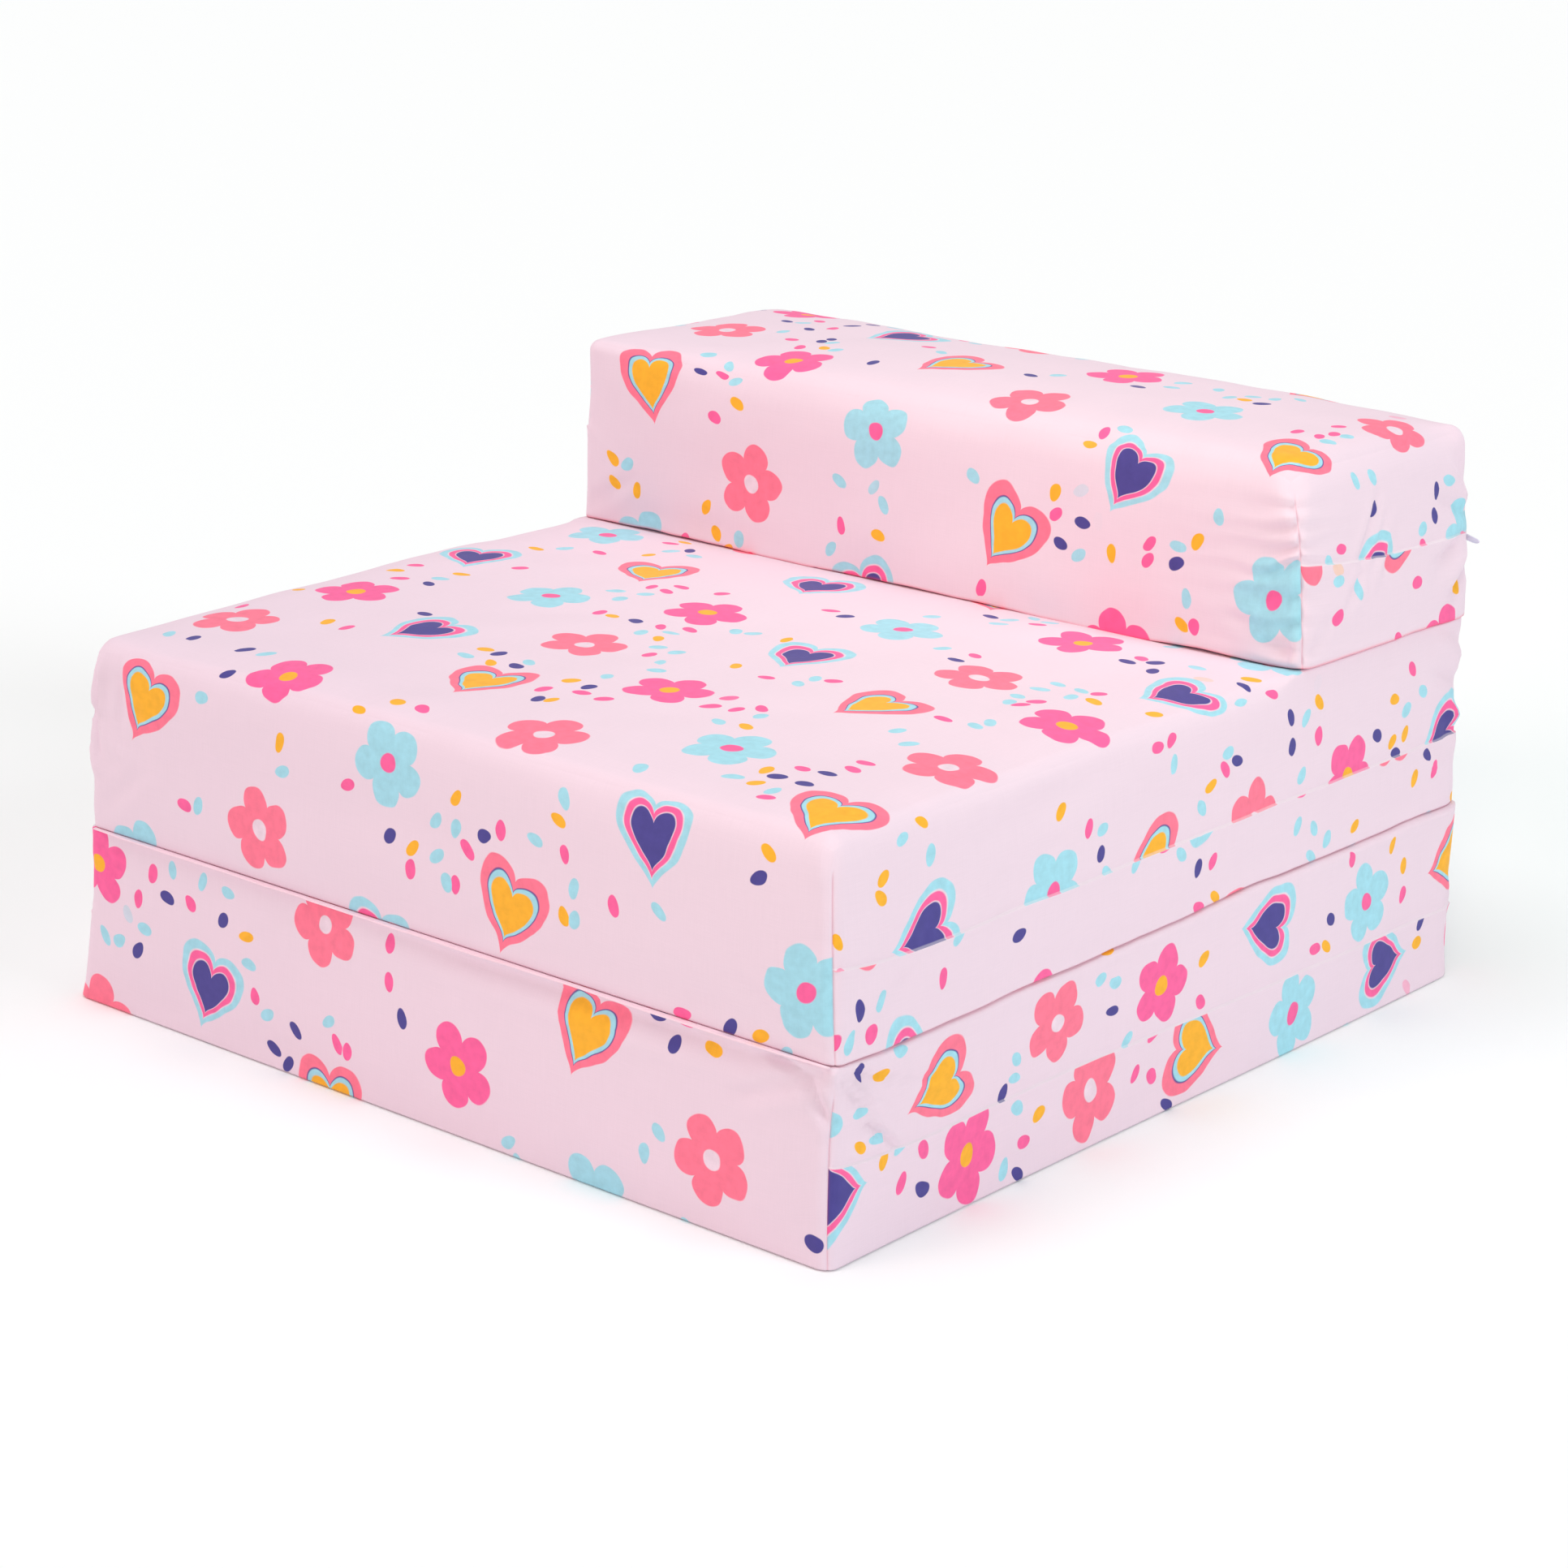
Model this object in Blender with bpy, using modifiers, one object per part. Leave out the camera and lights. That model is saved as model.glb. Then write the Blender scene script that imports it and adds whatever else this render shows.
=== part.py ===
"""Flip open sofa for a child: three foam blocks in zipped cloth covers.

The base lies on the floor and the seat lies on the base. A folded strip of cloth
joins them along the front crease. The bolster lies on the rear of the seat, and a
second strip joins it to the seat along the rear crease. Turned over about those two
creases, the blocks lie end to end as a low bed. Each cover is a bag of cloth with a
zip across its back, and it holds one block of foam.

Metres, +Z up. The origin is the centre of the underside. The sofa faces -Y.
"""

import math
from dataclasses import dataclass

import bmesh
import bpy
from mathutils import Matrix, Vector

# Blocks in their covers
BLOCK_WIDTH = 0.600
BLOCK_DEPTH = 0.670
BOLSTER_DEPTH = 0.210
BASE_HEIGHT = 0.120
SEAT_HEIGHT = 0.132
BOLSTER_HEIGHT = 0.135
SEAT_CROWN = 0.004
BOLSTER_CROWN = 0.005

# Covers
CLOTH = 0.0010
PIECE_GAP = 0.0003
FREE_EDGE_RADIUS = 0.026
PRESSED_EDGE_RADIUS = 0.008
CORNER_RADIUS = 0.008
PRESS_LENGTH = 0.035
FRONT_SWELL = 0.002
SIDE_SWELL = 0.0025
SEAM_PULL = 0.002
SEAM_HALF_WIDTH = 0.008
BASE_SEAM_SHARE = 0.41
SEAT_SEAM_SHARE = 0.38
BOLSTER_SEAM_SHARE = 0.43

# Foam
CORE_SIDE_ROOM = 0.006

# Zip chain, tapes and stops
ZIP_END_LAND = 0.001
ZIP_END_ROOM = 0.0006
TAPE_THICKNESS = 0.0008
TAPE_OVERLAP = 0.006
CHAIN_HALF_WIDTH = 0.003
CHAIN_THICKNESS = 0.0022
TOOTH_PITCH = 0.006
TOOTH_REACH = 0.0012
TOP_STOP_LENGTH = 0.0016
BOTTOM_STOP_LENGTH = 0.0026
STOP_GRIP = 0.0018
STOP_THICKNESS = 0.0026

# Zip slider
SLIDER_LENGTH = 0.0115
SLIDER_NOSE_WIDTH = 0.0106
SLIDER_TAIL_WIDTH = 0.0088
PLATE_THICKNESS = 0.0012
DIAMOND_WIDTH = 0.0026
DIAMOND_SET_BACK = 0.0010
BAIL_WIDTH = 0.0016
BAIL_WALL = 0.0009
BAIL_SPAN = 0.0042

# Zip pull
PULL_LENGTH = 0.025
PULL_WIDTH = 0.0062
PULL_NECK_WIDTH = 0.0046
PULL_THICKNESS = 0.0010
PULL_BAR = 0.0012
PULL_WINDOW_WIDTH = 0.0034
PULL_DROOP = math.radians(8.0)

# Cloth strips along the two creases
STRIP_THICKNESS = 0.0010
FRONT_FOLD_REACH = 0.0035
REAR_FOLD_REACH = 0.0050

# Shares and counts of the meshes
ARC_LINE_SHARES = (0.0, 0.586, 1.0)
WIDTH_LINE_SHARES = (-0.72, -0.38, 0.0, 0.38, 0.72)
DEPTH_LINE_SHARES = (0.28, 0.58, 0.86)
PINCH_POWER = 4
STRIP_GRIP_ANGLE = math.radians(52.0)
FOLD_STEPS = 4
CORNER_STEPS = 4
TAB_START_SHARE = 0.45
ARCH_CHAMFER_SHARE = 0.25
WELD = 0.000001
CUT_OVERRUN = 0.0002

# Colours, as red, green, blue
CLOTH_PINK = (0.93, 0.80, 0.86)
STRIP_PINK = (0.93, 0.66, 0.76)
FOAM_CREAM = (0.90, 0.84, 0.66)
TAPE_WHITE = (0.90, 0.88, 0.93)
TEETH_WHITE = (0.86, 0.84, 0.92)
SLIDER_LILAC = (0.78, 0.76, 0.90)

# Places that follow from the sizes above
HALF_WIDTH = BLOCK_WIDTH / 2
REAR = BLOCK_DEPTH / 2
SLIT_HALF_LENGTH = HALF_WIDTH - CORNER_RADIUS - ZIP_END_LAND
SLIT_HALF_HEIGHT = SEAM_HALF_WIDTH
ZIP_HALF_LENGTH = SLIT_HALF_LENGTH - ZIP_END_ROOM
TAPE_PLANE_DEPTH = CLOTH + PIECE_GAP + TAPE_THICKNESS / 2
TAPE_INNER_EDGE = CHAIN_HALF_WIDTH + PIECE_GAP
PLATE_FACE = CHAIN_THICKNESS / 2 + PIECE_GAP
PLATE_BACK = PLATE_FACE + PLATE_THICKNESS
CORE_REAR_ROOM = TAPE_PLANE_DEPTH + PLATE_BACK + PIECE_GAP
PULL_TILT_ROOM = math.sin(PULL_DROOP) * PULL_WIDTH / 2
PULL_BAR_RADIUS = math.hypot(PULL_BAR, PULL_THICKNESS) / 2
BAIL_AXIS_HEIGHT = PULL_BAR / 2 + PULL_TILT_ROOM + PIECE_GAP
BAIL_HEIGHT = BAIL_AXIS_HEIGHT + PULL_BAR_RADIUS + PULL_TILT_ROOM + PIECE_GAP


@dataclass(frozen=True)
class Block:
    """One foam block in its cover: where it stands and how its top is shaped."""

    name: str
    depth: float
    underside: float
    height: float
    crown: float
    bare_depth: float
    seam_share: float
    closed_end: int

    @property
    def middle(self):
        """Y of the block's centre: every block is flush at the rear."""
        return REAR - self.depth / 2

    @property
    def seam_height(self):
        """Height of the side seams and of the zip above the underside."""
        return self.height * self.seam_share

    @property
    def tape_top(self):
        """Height of the upper tape's outer edge above the underside."""
        return self.seam_height + SLIT_HALF_HEIGHT + TAPE_OVERLAP

    @property
    def zip_place(self):
        """World place of the middle of the zip, in the plane of its tapes."""
        return Vector((0.0, REAR - TAPE_PLANE_DEPTH, self.underside + self.seam_height))

    def edge_radius(self, y):
        """Radius of the top edge at a depth y: wide where the top is bare."""
        if self.bare_depth <= 0:
            return PRESSED_EDGE_RADIUS
        covered_from = self.bare_depth - self.depth / 2
        pressed = ramp(covered_from - PRESS_LENGTH, covered_from, y)
        return blend(FREE_EDGE_RADIUS, PRESSED_EDGE_RADIUS, pressed)


def ramp(start, end, value):
    """Smooth step from 0 at start to 1 at end."""
    share = min(max((value - start) / (end - start), 0.0), 1.0)
    return share * share * (3 - 2 * share)


def blend(first, second, share):
    """Value between first and second."""
    return first + (second - first) * share


def clamp(value, low, high):
    """Value kept between low and high."""
    return min(max(value, low), high)


def clear_scene():
    """Remove every object that the file starts with."""
    for obj in list(bpy.data.objects):
        bpy.data.objects.remove(obj, do_unlink=True)


def new_collection(name):
    """Add a collection to the scene."""
    collection = bpy.data.collections.new(name)
    bpy.context.scene.collection.children.link(collection)
    return collection


def new_material(name, colour, roughness, metallic=0.0):
    """Make a plain Principled BSDF material."""
    material = bpy.data.materials.new(name)
    material.use_nodes = True
    shader = material.node_tree.nodes["Principled BSDF"]
    shader.inputs["Base Color"].default_value = (*colour, 1.0)
    shader.inputs["Roughness"].default_value = roughness
    shader.inputs["Metallic"].default_value = metallic
    return material


def cloth_material(name, colour):
    """Matt woven cloth."""
    return new_material(name, colour, 0.9)


def foam_material(name):
    """Open-cell foam."""
    return new_material(name, FOAM_CREAM, 0.95)


def moulded_material(name, colour):
    """Moulded plastic of a zip."""
    return new_material(name, colour, 0.35)


def mesh_object(name, bm, collection, material=None):
    """Turn a bmesh into an object with its faces pointing out."""
    bmesh.ops.recalc_face_normals(bm, faces=bm.faces[:])
    mesh = bpy.data.meshes.new(name)
    bm.to_mesh(mesh)
    bm.free()
    obj = bpy.data.objects.new(name, mesh)
    collection.objects.link(obj)
    if material:
        mesh.materials.append(material)
    return obj


def place(obj, world, parent):
    """Put an object at a world place under an empty or another object."""
    obj.parent = parent
    held = Vector((0.0, 0.0, 0.0))
    carrier = parent
    while carrier:
        held += carrier.location
        carrier = carrier.parent
    obj.location = Vector(world) - held


def crease_empty(name, world, parent, collection):
    """Add the empty that marks a crease and carries what turns about it."""
    empty = bpy.data.objects.new(name, None)
    collection.objects.link(empty)
    place(empty, world, parent)
    return empty


def boxed(low, high, lines):
    """Make a box between two corners, cut along planes across each axis."""
    bm = bmesh.new()
    bmesh.ops.create_cube(bm, size=1.0)
    low = Vector(low)
    span = Vector(high) - low
    for vert in bm.verts:
        vert.co = low + Vector((part + 0.5) * side for part, side in zip(vert.co, span))
    for axis, places in enumerate(lines):
        normal = Vector((0.0, 0.0, 0.0))
        normal[axis] = 1.0
        for at in places:
            if low[axis] + WELD < at < low[axis] + span[axis] - WELD:
                everything = bm.verts[:] + bm.edges[:] + bm.faces[:]
                bmesh.ops.bisect_plane(
                    bm, geom=everything, dist=WELD, plane_co=normal * at, plane_no=normal
                )
    return bm


def rounded(point, half_width, front, rear, height, top_radius, bottom_radius, side_radius):
    """Move a point of a box onto the same box with round edges."""
    core = Vector((
        clamp(point.x, side_radius - half_width, half_width - side_radius),
        clamp(point.y, front + side_radius, rear - side_radius),
        clamp(point.z, bottom_radius, height - top_radius),
    ))
    upright = top_radius if point.z > height / 2 else bottom_radius
    radii = Vector((side_radius, side_radius, upright))
    away = Vector(part / radius for part, radius in zip(point - core, radii))
    if away.length < WELD:
        return point.copy()
    away.normalize()
    return core + Vector(part * radius for part, radius in zip(away, radii))


def soften(point, block):
    """Give a point of a plain box its place on the cover of a block."""
    half_depth = block.depth / 2
    height = block.height
    top_radius = block.edge_radius(point.y)
    rise = ramp(block.tape_top, height - top_radius, point.z)
    side_radius = blend(CORNER_RADIUS, top_radius, rise)
    soft = rounded(
        point, HALF_WIDTH, -half_depth, half_depth, height,
        top_radius, PRESSED_EDGE_RADIUS, side_radius,
    )
    across = clamp(1 - abs(point.x / HALF_WIDTH) ** PINCH_POWER, 0.0, 1.0)
    along = clamp(1 - abs(point.y / half_depth) ** PINCH_POWER, 0.0, 1.0)
    upright = math.sin(math.pi * point.z / height)
    if abs(abs(point.x) - HALF_WIDTH) < WELD:
        seam = math.exp(-(((point.z - block.seam_height) / SEAM_HALF_WIDTH) ** 2))
        swell = SIDE_SWELL * upright * (1 - seam) - SEAM_PULL * seam
        soft.x += math.copysign(swell * along, point.x)
    if abs(point.y + half_depth) < WELD:
        soft.y -= FRONT_SWELL * upright * across
    if block.crown > 0 and abs(point.z - height) < WELD:
        bare_middle = (block.bare_depth - block.depth) / 2
        off_middle = (point.y - bare_middle) / (block.bare_depth / 2)
        rise = clamp(1 - off_middle * off_middle, 0.0, 1.0)
        soft.z += block.crown * across * rise
    return soft


def edge_lines(low, high, radius):
    """Cutting places that round the two ends of a span."""
    near = [low + radius * share for share in ARC_LINE_SHARES]
    far = [high - radius * share for share in ARC_LINE_SHARES]
    return near + far


def cover_lines(block):
    """Cutting places of a cover across X, Y and Z."""
    half_depth = block.depth / 2
    widest = max(block.edge_radius(-half_depth), PRESSED_EDGE_RADIUS)
    width_lines = edge_lines(-HALF_WIDTH, HALF_WIDTH, widest)
    width_lines += [-SLIT_HALF_LENGTH, SLIT_HALF_LENGTH]
    width_lines += [HALF_WIDTH * share for share in WIDTH_LINE_SHARES]
    bare = block.bare_depth if block.bare_depth > 0 else block.depth
    depth_lines = edge_lines(-half_depth, half_depth, widest)
    depth_lines += [bare * share - half_depth for share in DEPTH_LINE_SHARES]
    if 0 < block.bare_depth < block.depth:
        depth_lines += [block.bare_depth - half_depth]
    height_lines = [block.height - widest * share for share in ARC_LINE_SHARES]
    height_lines += [PRESSED_EDGE_RADIUS, block.seam_height, block.tape_top]
    height_lines += [block.seam_height - SLIT_HALF_HEIGHT, block.seam_height + SLIT_HALF_HEIGHT]
    return width_lines, depth_lines, height_lines


def in_slit(face, block):
    """True for a face of the rear panel that the zip takes the place of."""
    middle = face.calc_center_median()
    return (
        middle.y > block.depth / 2 - WELD
        and abs(middle.x) < SLIT_HALF_LENGTH
        and abs(middle.z - block.seam_height) < SLIT_HALF_HEIGHT
    )


def add_cover(block, collection, parent):
    """Sewn cloth cover: a soft closed shell with a slit for the zip at the rear."""
    half_depth = block.depth / 2
    low = (-HALF_WIDTH, -half_depth, 0.0)
    high = (HALF_WIDTH, half_depth, block.height)
    bm = boxed(low, high, cover_lines(block))
    opened = [face for face in bm.faces if in_slit(face, block)]
    bmesh.ops.delete(bm, geom=opened, context="FACES_ONLY")
    loose = [edge for edge in bm.edges if not edge.link_faces]
    bmesh.ops.delete(bm, geom=loose, context="EDGES")
    for vert in bm.verts:
        vert.co = soften(vert.co.copy(), block)
    name = f"{block.name}_cover"
    obj = mesh_object(name, bm, collection, cloth_material(name, CLOTH_PINK))
    wall = obj.modifiers.new("Cloth", "SOLIDIFY")
    wall.thickness = CLOTH
    wall.offset = -1.0
    wall.use_even_offset = True
    place(obj, (0.0, block.middle, block.underside), parent)
    obj.data.shade_smooth()
    return obj


def add_foam_core(block, collection, parent):
    """Block of foam, with room at the sides for the seams and behind for the zip."""
    half_width = HALF_WIDTH - CORE_SIDE_ROOM
    front = CORE_SIDE_ROOM - block.depth / 2
    rear = block.depth / 2 - CORE_REAR_ROOM
    skin = CLOTH + PIECE_GAP
    height = block.height - skin * 2
    radius = max(block.edge_radius(-block.depth / 2), PRESSED_EDGE_RADIUS)
    lines = (
        edge_lines(-half_width, half_width, radius),
        edge_lines(front, rear, radius),
        [PRESSED_EDGE_RADIUS] + [height - radius * share for share in ARC_LINE_SHARES],
    )
    bm = boxed((-half_width, front, 0.0), (half_width, rear, height), lines)
    for vert in bm.verts:
        vert.co = rounded(
            vert.co.copy(), half_width, front, rear, height,
            radius, PRESSED_EDGE_RADIUS, radius,
        )
    name = f"{block.name}_foam_core"
    obj = mesh_object(name, bm, collection, foam_material(name))
    place(obj, (0.0, block.middle, block.underside + skin), parent)
    return obj


def flat_solid(name, loops, thickness, turn, collection, material=None):
    """Extrude closed outlines to a thickness, turned from the XY plane."""
    curve = bpy.data.curves.new(name, "CURVE")
    curve.dimensions = "2D"
    curve.fill_mode = "BOTH"
    curve.extrude = thickness / 2
    for loop in loops:
        spline = curve.splines.new("POLY")
        spline.points.add(len(loop) - 1)
        for point, (x, y) in zip(spline.points, loop):
            point.co = (x, y, 0.0, 1.0)
        spline.use_cyclic_u = True
    guide = bpy.data.objects.new(f"{name}_outline", curve)
    bpy.context.scene.collection.objects.link(guide)
    bpy.context.view_layer.update()
    ready = guide.evaluated_get(bpy.context.evaluated_depsgraph_get())
    mesh = bpy.data.meshes.new_from_object(ready)
    bpy.data.objects.remove(guide, do_unlink=True)
    bm = bmesh.new()
    bm.from_mesh(mesh)
    bpy.data.meshes.remove(mesh)
    bmesh.ops.remove_doubles(bm, verts=bm.verts[:], dist=WELD)
    bmesh.ops.transform(bm, matrix=turn, verts=bm.verts[:])
    return mesh_object(name, bm, collection, material)


def facing_back(closed_end):
    """Turn an outline of (along the zip, up) so that its thickness runs along Y."""
    return Matrix((
        (closed_end, 0.0, 0.0, 0.0),
        (0.0, 0.0, 1.0, 0.0),
        (0.0, 1.0, 0.0, 0.0),
        (0.0, 0.0, 0.0, 1.0),
    ))


def across_zip(closed_end):
    """Turn an outline of (out of the back, up) so that its length runs along the zip."""
    return Matrix((
        (0.0, 0.0, closed_end, 0.0),
        (1.0, 0.0, 0.0, 0.0),
        (0.0, 1.0, 0.0, 0.0),
        (0.0, 0.0, 0.0, 1.0),
    ))


def along_width():
    """Turn an outline of (Y, Z) so that its length runs along X."""
    return across_zip(1)


def facing_up(closed_end):
    """Turn an outline of (along the zip, out of the back) so that it stands along Z."""
    return Matrix.Diagonal((closed_end, 1.0, 1.0, 1.0))


def slider_middle():
    """Distance of the closed slider from the middle of the zip."""
    nose = ZIP_HALF_LENGTH - TOP_STOP_LENGTH - PIECE_GAP
    return nose - SLIDER_LENGTH / 2


def chain_ends():
    """First and last place of the closed teeth, measured towards the closed end."""
    start = BOTTOM_STOP_LENGTH + PIECE_GAP - ZIP_HALF_LENGTH
    diamond_tip = slider_middle() + DIAMOND_SET_BACK
    return start, diamond_tip - PIECE_GAP


def teeth_outline(side):
    """Comb of teeth on one side of the chain, meeting the other comb in a zigzag."""
    start, end = chain_ends()
    teeth = max(int((end - start) / TOOTH_PITCH), 1)
    half_pitch = (end - start) / teeth / 2
    slope = math.atan2(TOOTH_REACH * 2, half_pitch)
    clear = PIECE_GAP / 2 / math.cos(slope)
    wave = [
        (start + half_pitch * step, TOOTH_REACH * (-1) ** step + side * clear)
        for step in range(teeth * 2 + 1)
    ]
    back = side * CHAIN_HALF_WIDTH
    return [(start, back)] + wave + [(end, back)]


def add_teeth(block, side, collection, parent):
    """One comb of zip teeth, above (+1) or below (-1) the middle of the chain."""
    name = f"{block.name}_zip_teeth_{'upper' if side > 0 else 'lower'}"
    obj = flat_solid(
        name, [teeth_outline(side)], CHAIN_THICKNESS, facing_back(block.closed_end),
        collection, moulded_material(name, TEETH_WHITE),
    )
    place(obj, block.zip_place, parent)
    return obj


def add_tape(block, side, collection, parent):
    """Woven zip tape, sewn behind the edge of the slit."""
    inner = side * TAPE_INNER_EDGE
    outer = side * (SLIT_HALF_HEIGHT + TAPE_OVERLAP)
    low = (-SLIT_HALF_LENGTH, -TAPE_THICKNESS / 2, min(inner, outer))
    high = (SLIT_HALF_LENGTH, TAPE_THICKNESS / 2, max(inner, outer))
    name = f"{block.name}_zip_tape_{'upper' if side > 0 else 'lower'}"
    obj = mesh_object(name, boxed(low, high, ()), collection, cloth_material(name, TAPE_WHITE))
    place(obj, block.zip_place, parent)
    return obj


def grip_outline(inner, side):
    """Section of a clip that grips the edge of one tape, as (out of the back, up)."""
    half = STOP_THICKNESS / 2
    slot = TAPE_THICKNESS / 2 + PIECE_GAP
    floor = side * CHAIN_HALF_WIDTH
    mouth = side * (CHAIN_HALF_WIDTH + STOP_GRIP)
    return [
        (-half, inner), (half, inner), (half, mouth), (slot, mouth),
        (slot, floor), (-slot, floor), (-slot, mouth), (-half, mouth),
    ]


def add_top_stop(block, side, collection, parent):
    """Clip on one tape that stops the slider at the closed end."""
    name = f"{block.name}_zip_top_stop_{'upper' if side > 0 else 'lower'}"
    outline = grip_outline(side * PIECE_GAP, side)
    obj = flat_solid(
        name, [outline], TOP_STOP_LENGTH, across_zip(block.closed_end),
        collection, moulded_material(name, TEETH_WHITE),
    )
    middle = block.closed_end * (ZIP_HALF_LENGTH - TOP_STOP_LENGTH / 2)
    place(obj, block.zip_place + Vector((middle, 0.0, 0.0)), parent)
    return obj


def add_bottom_stop(block, collection, parent):
    """Clip that holds both tapes together at the open end."""
    name = f"{block.name}_zip_bottom_stop"
    upper = grip_outline(0.0, 1)[1:]
    lower = grip_outline(0.0, -1)[1:]
    outline = [point for point in upper[1:]] + [point for point in reversed(lower[1:])]
    obj = flat_solid(
        name, [outline], BOTTOM_STOP_LENGTH, across_zip(block.closed_end),
        collection, moulded_material(name, TEETH_WHITE),
    )
    middle = block.closed_end * (BOTTOM_STOP_LENGTH / 2 - ZIP_HALF_LENGTH)
    place(obj, block.zip_place + Vector((middle, 0.0, 0.0)), parent)
    return obj


def shield_outline():
    """Outline of a slider plate: a broad round nose and a narrower tail."""
    half = SLIDER_LENGTH / 2
    nose = SLIDER_NOSE_WIDTH / 2
    tail = SLIDER_TAIL_WIDTH / 2
    shoulder = nose / 2
    upper = [(-half, 0.0), (-half, tail - CLOTH), (CLOTH - half, tail), (0.0, tail)]
    turn = math.pi / 2 / CORNER_STEPS
    for step in range(CORNER_STEPS + 1):
        swing = math.pi / 2 - turn * step
        reach = math.cos(swing) * shoulder
        upper.append((half - shoulder + reach, math.sin(swing) * shoulder + nose - shoulder))
    return upper[1:] + [(x, -y) for x, y in reversed(upper[1:])]


def channel_outline(facing):
    """Section of a plate with the two lips that keep the tapes in line."""
    half = SLIDER_NOSE_WIDTH / 2
    lip = CHAIN_HALF_WIDTH + PIECE_GAP * 2
    slot = (TAPE_THICKNESS / 2 + PIECE_GAP) * facing
    face = PLATE_FACE * facing
    back = PLATE_BACK * facing
    return [
        (back, -half), (back, half), (slot, half), (slot, lip),
        (face, lip), (face, -lip), (slot, -lip), (slot, -half),
    ]


def diamond_outline():
    """Outline of the post that parts the two combs."""
    tip = DIAMOND_SET_BACK
    back = SLIDER_LENGTH / 2 - PIECE_GAP
    half = DIAMOND_WIDTH / 2
    return [(tip, 0.0), (back, -half), (back, half)]


def bail_outline():
    """Arch that carries the pull, as (along the zip, out of the plate)."""
    half = BAIL_SPAN / 2
    outer = half + BAIL_WALL
    top = BAIL_HEIGHT + BAIL_WALL
    cut = BAIL_SPAN * ARCH_CHAMFER_SHARE / 2
    foot = -CUT_OVERRUN
    return [
        (-outer, foot), (-outer, top - cut), (cut - outer, top), (outer - cut, top),
        (outer, top - cut), (outer, foot), (half, foot), (half, BAIL_HEIGHT),
        (-half, BAIL_HEIGHT), (-half, foot),
    ]


def merge(target, tool, operation):
    """Join a tool to an object, or keep what the two share."""
    modifier = target.modifiers.new(tool.name, "BOOLEAN")
    modifier.operation = operation
    modifier.solver = "EXACT"
    modifier.object = tool
    tool.hide_render = True
    tool.display_type = "WIRE"
    tool.parent = target


def add_slider(block, collection, cutters, parent):
    """Slider: two lipped plates around the chain, a diamond post and a bail."""
    name = f"{block.name}_zip_slider"
    end = block.closed_end
    back = facing_back(end)
    obj = flat_solid(
        name, [channel_outline(1)], SLIDER_LENGTH, across_zip(end),
        collection, moulded_material(name, SLIDER_LILAC),
    )
    inner = flat_solid(
        f"{name}_inner_plate", [channel_outline(-1)], SLIDER_LENGTH, across_zip(end), cutters
    )
    post_length = (PLATE_FACE + CUT_OVERRUN) * 2
    post = flat_solid(f"{name}_diamond", [diamond_outline()], post_length, back, cutters)
    shield_depth = (PLATE_BACK + CUT_OVERRUN) * 2
    shield = flat_solid(f"{name}_shield", [shield_outline()], shield_depth, back, cutters)
    bail = flat_solid(f"{name}_bail", [bail_outline()], BAIL_WIDTH, facing_up(end), cutters)
    bail.location.y = PLATE_BACK
    merge(obj, post, "UNION")
    merge(obj, inner, "UNION")
    merge(obj, shield, "INTERSECT")
    merge(obj, bail, "UNION")
    shift = Vector((end * slider_middle(), 0.0, 0.0))
    place(obj, block.zip_place + shift, parent)
    return obj


def pull_outline():
    """Outline of the pull: an eye, a narrow neck and a broad round tab."""
    half = PULL_WIDTH / 2
    neck = PULL_NECK_WIDTH / 2
    start = -PULL_BAR / 2
    eye_end = window_end() + PULL_BAR
    tab_start = PULL_LENGTH * TAB_START_SHARE
    upper = [(start, half), (eye_end, half), (eye_end + PULL_BAR, neck), (tab_start, neck)]
    middle = PULL_LENGTH - half
    turn = math.pi / 2 / CORNER_STEPS
    for step in range(CORNER_STEPS + 1):
        swing = math.pi / 2 - turn * step
        upper.append((middle + math.cos(swing) * half, math.sin(swing) * half))
    return upper + [(x, -y) for x, y in reversed(upper[:-1])]


def window_end():
    """Far edge of the pull's window, clear of the bail all the way round."""
    corner = math.hypot(BAIL_SPAN / 2 + BAIL_WALL, BAIL_HEIGHT + BAIL_WALL - BAIL_AXIS_HEIGHT)
    return corner + PIECE_GAP * 2


def pull_window():
    """Outline of the window that the bail passes through."""
    half = PULL_WINDOW_WIDTH / 2
    start = PULL_BAR / 2
    return [(start, -half), (start, half), (window_end(), half), (window_end(), -half)]


def add_pull(block, collection, slider):
    """Pull: it hangs on the bail and points out past the closed end of the zip."""
    name = f"{block.name}_zip_pull"
    droop = Matrix.Rotation(PULL_DROOP * block.closed_end, 4, "Y")
    obj = flat_solid(
        name, [pull_outline(), pull_window()], PULL_THICKNESS,
        droop @ facing_back(block.closed_end), collection, moulded_material(name, SLIDER_LILAC),
    )
    along = block.closed_end * slider_middle()
    out = PLATE_BACK + BAIL_AXIS_HEIGHT
    place(obj, block.zip_place + Vector((along, out, 0.0)), slider)
    return obj


def strip_path(edge, facing, level, reach):
    """Section of a folded strip between two round edges, as (Y, Z) places."""
    radius = PRESSED_EDGE_RADIUS + PIECE_GAP + STRIP_THICKNESS / 2
    inward = PRESSED_EDGE_RADIUS - math.cos(STRIP_GRIP_ANGLE) * radius
    rise = PIECE_GAP / 2 + PRESSED_EDGE_RADIUS - math.sin(STRIP_GRIP_ANGLE) * radius
    fold = STRIP_THICKNESS / 2 + PIECE_GAP / 2
    turn = math.pi / FOLD_STEPS
    bend = [
        (edge + facing * (reach + math.sin(turn * step) * fold), level - math.cos(turn * step) * fold)
        for step in range(FOLD_STEPS + 1)
    ]
    grip = edge - facing * inward
    return [(grip, level - rise)] + bend + [(grip, level + rise)]


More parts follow.
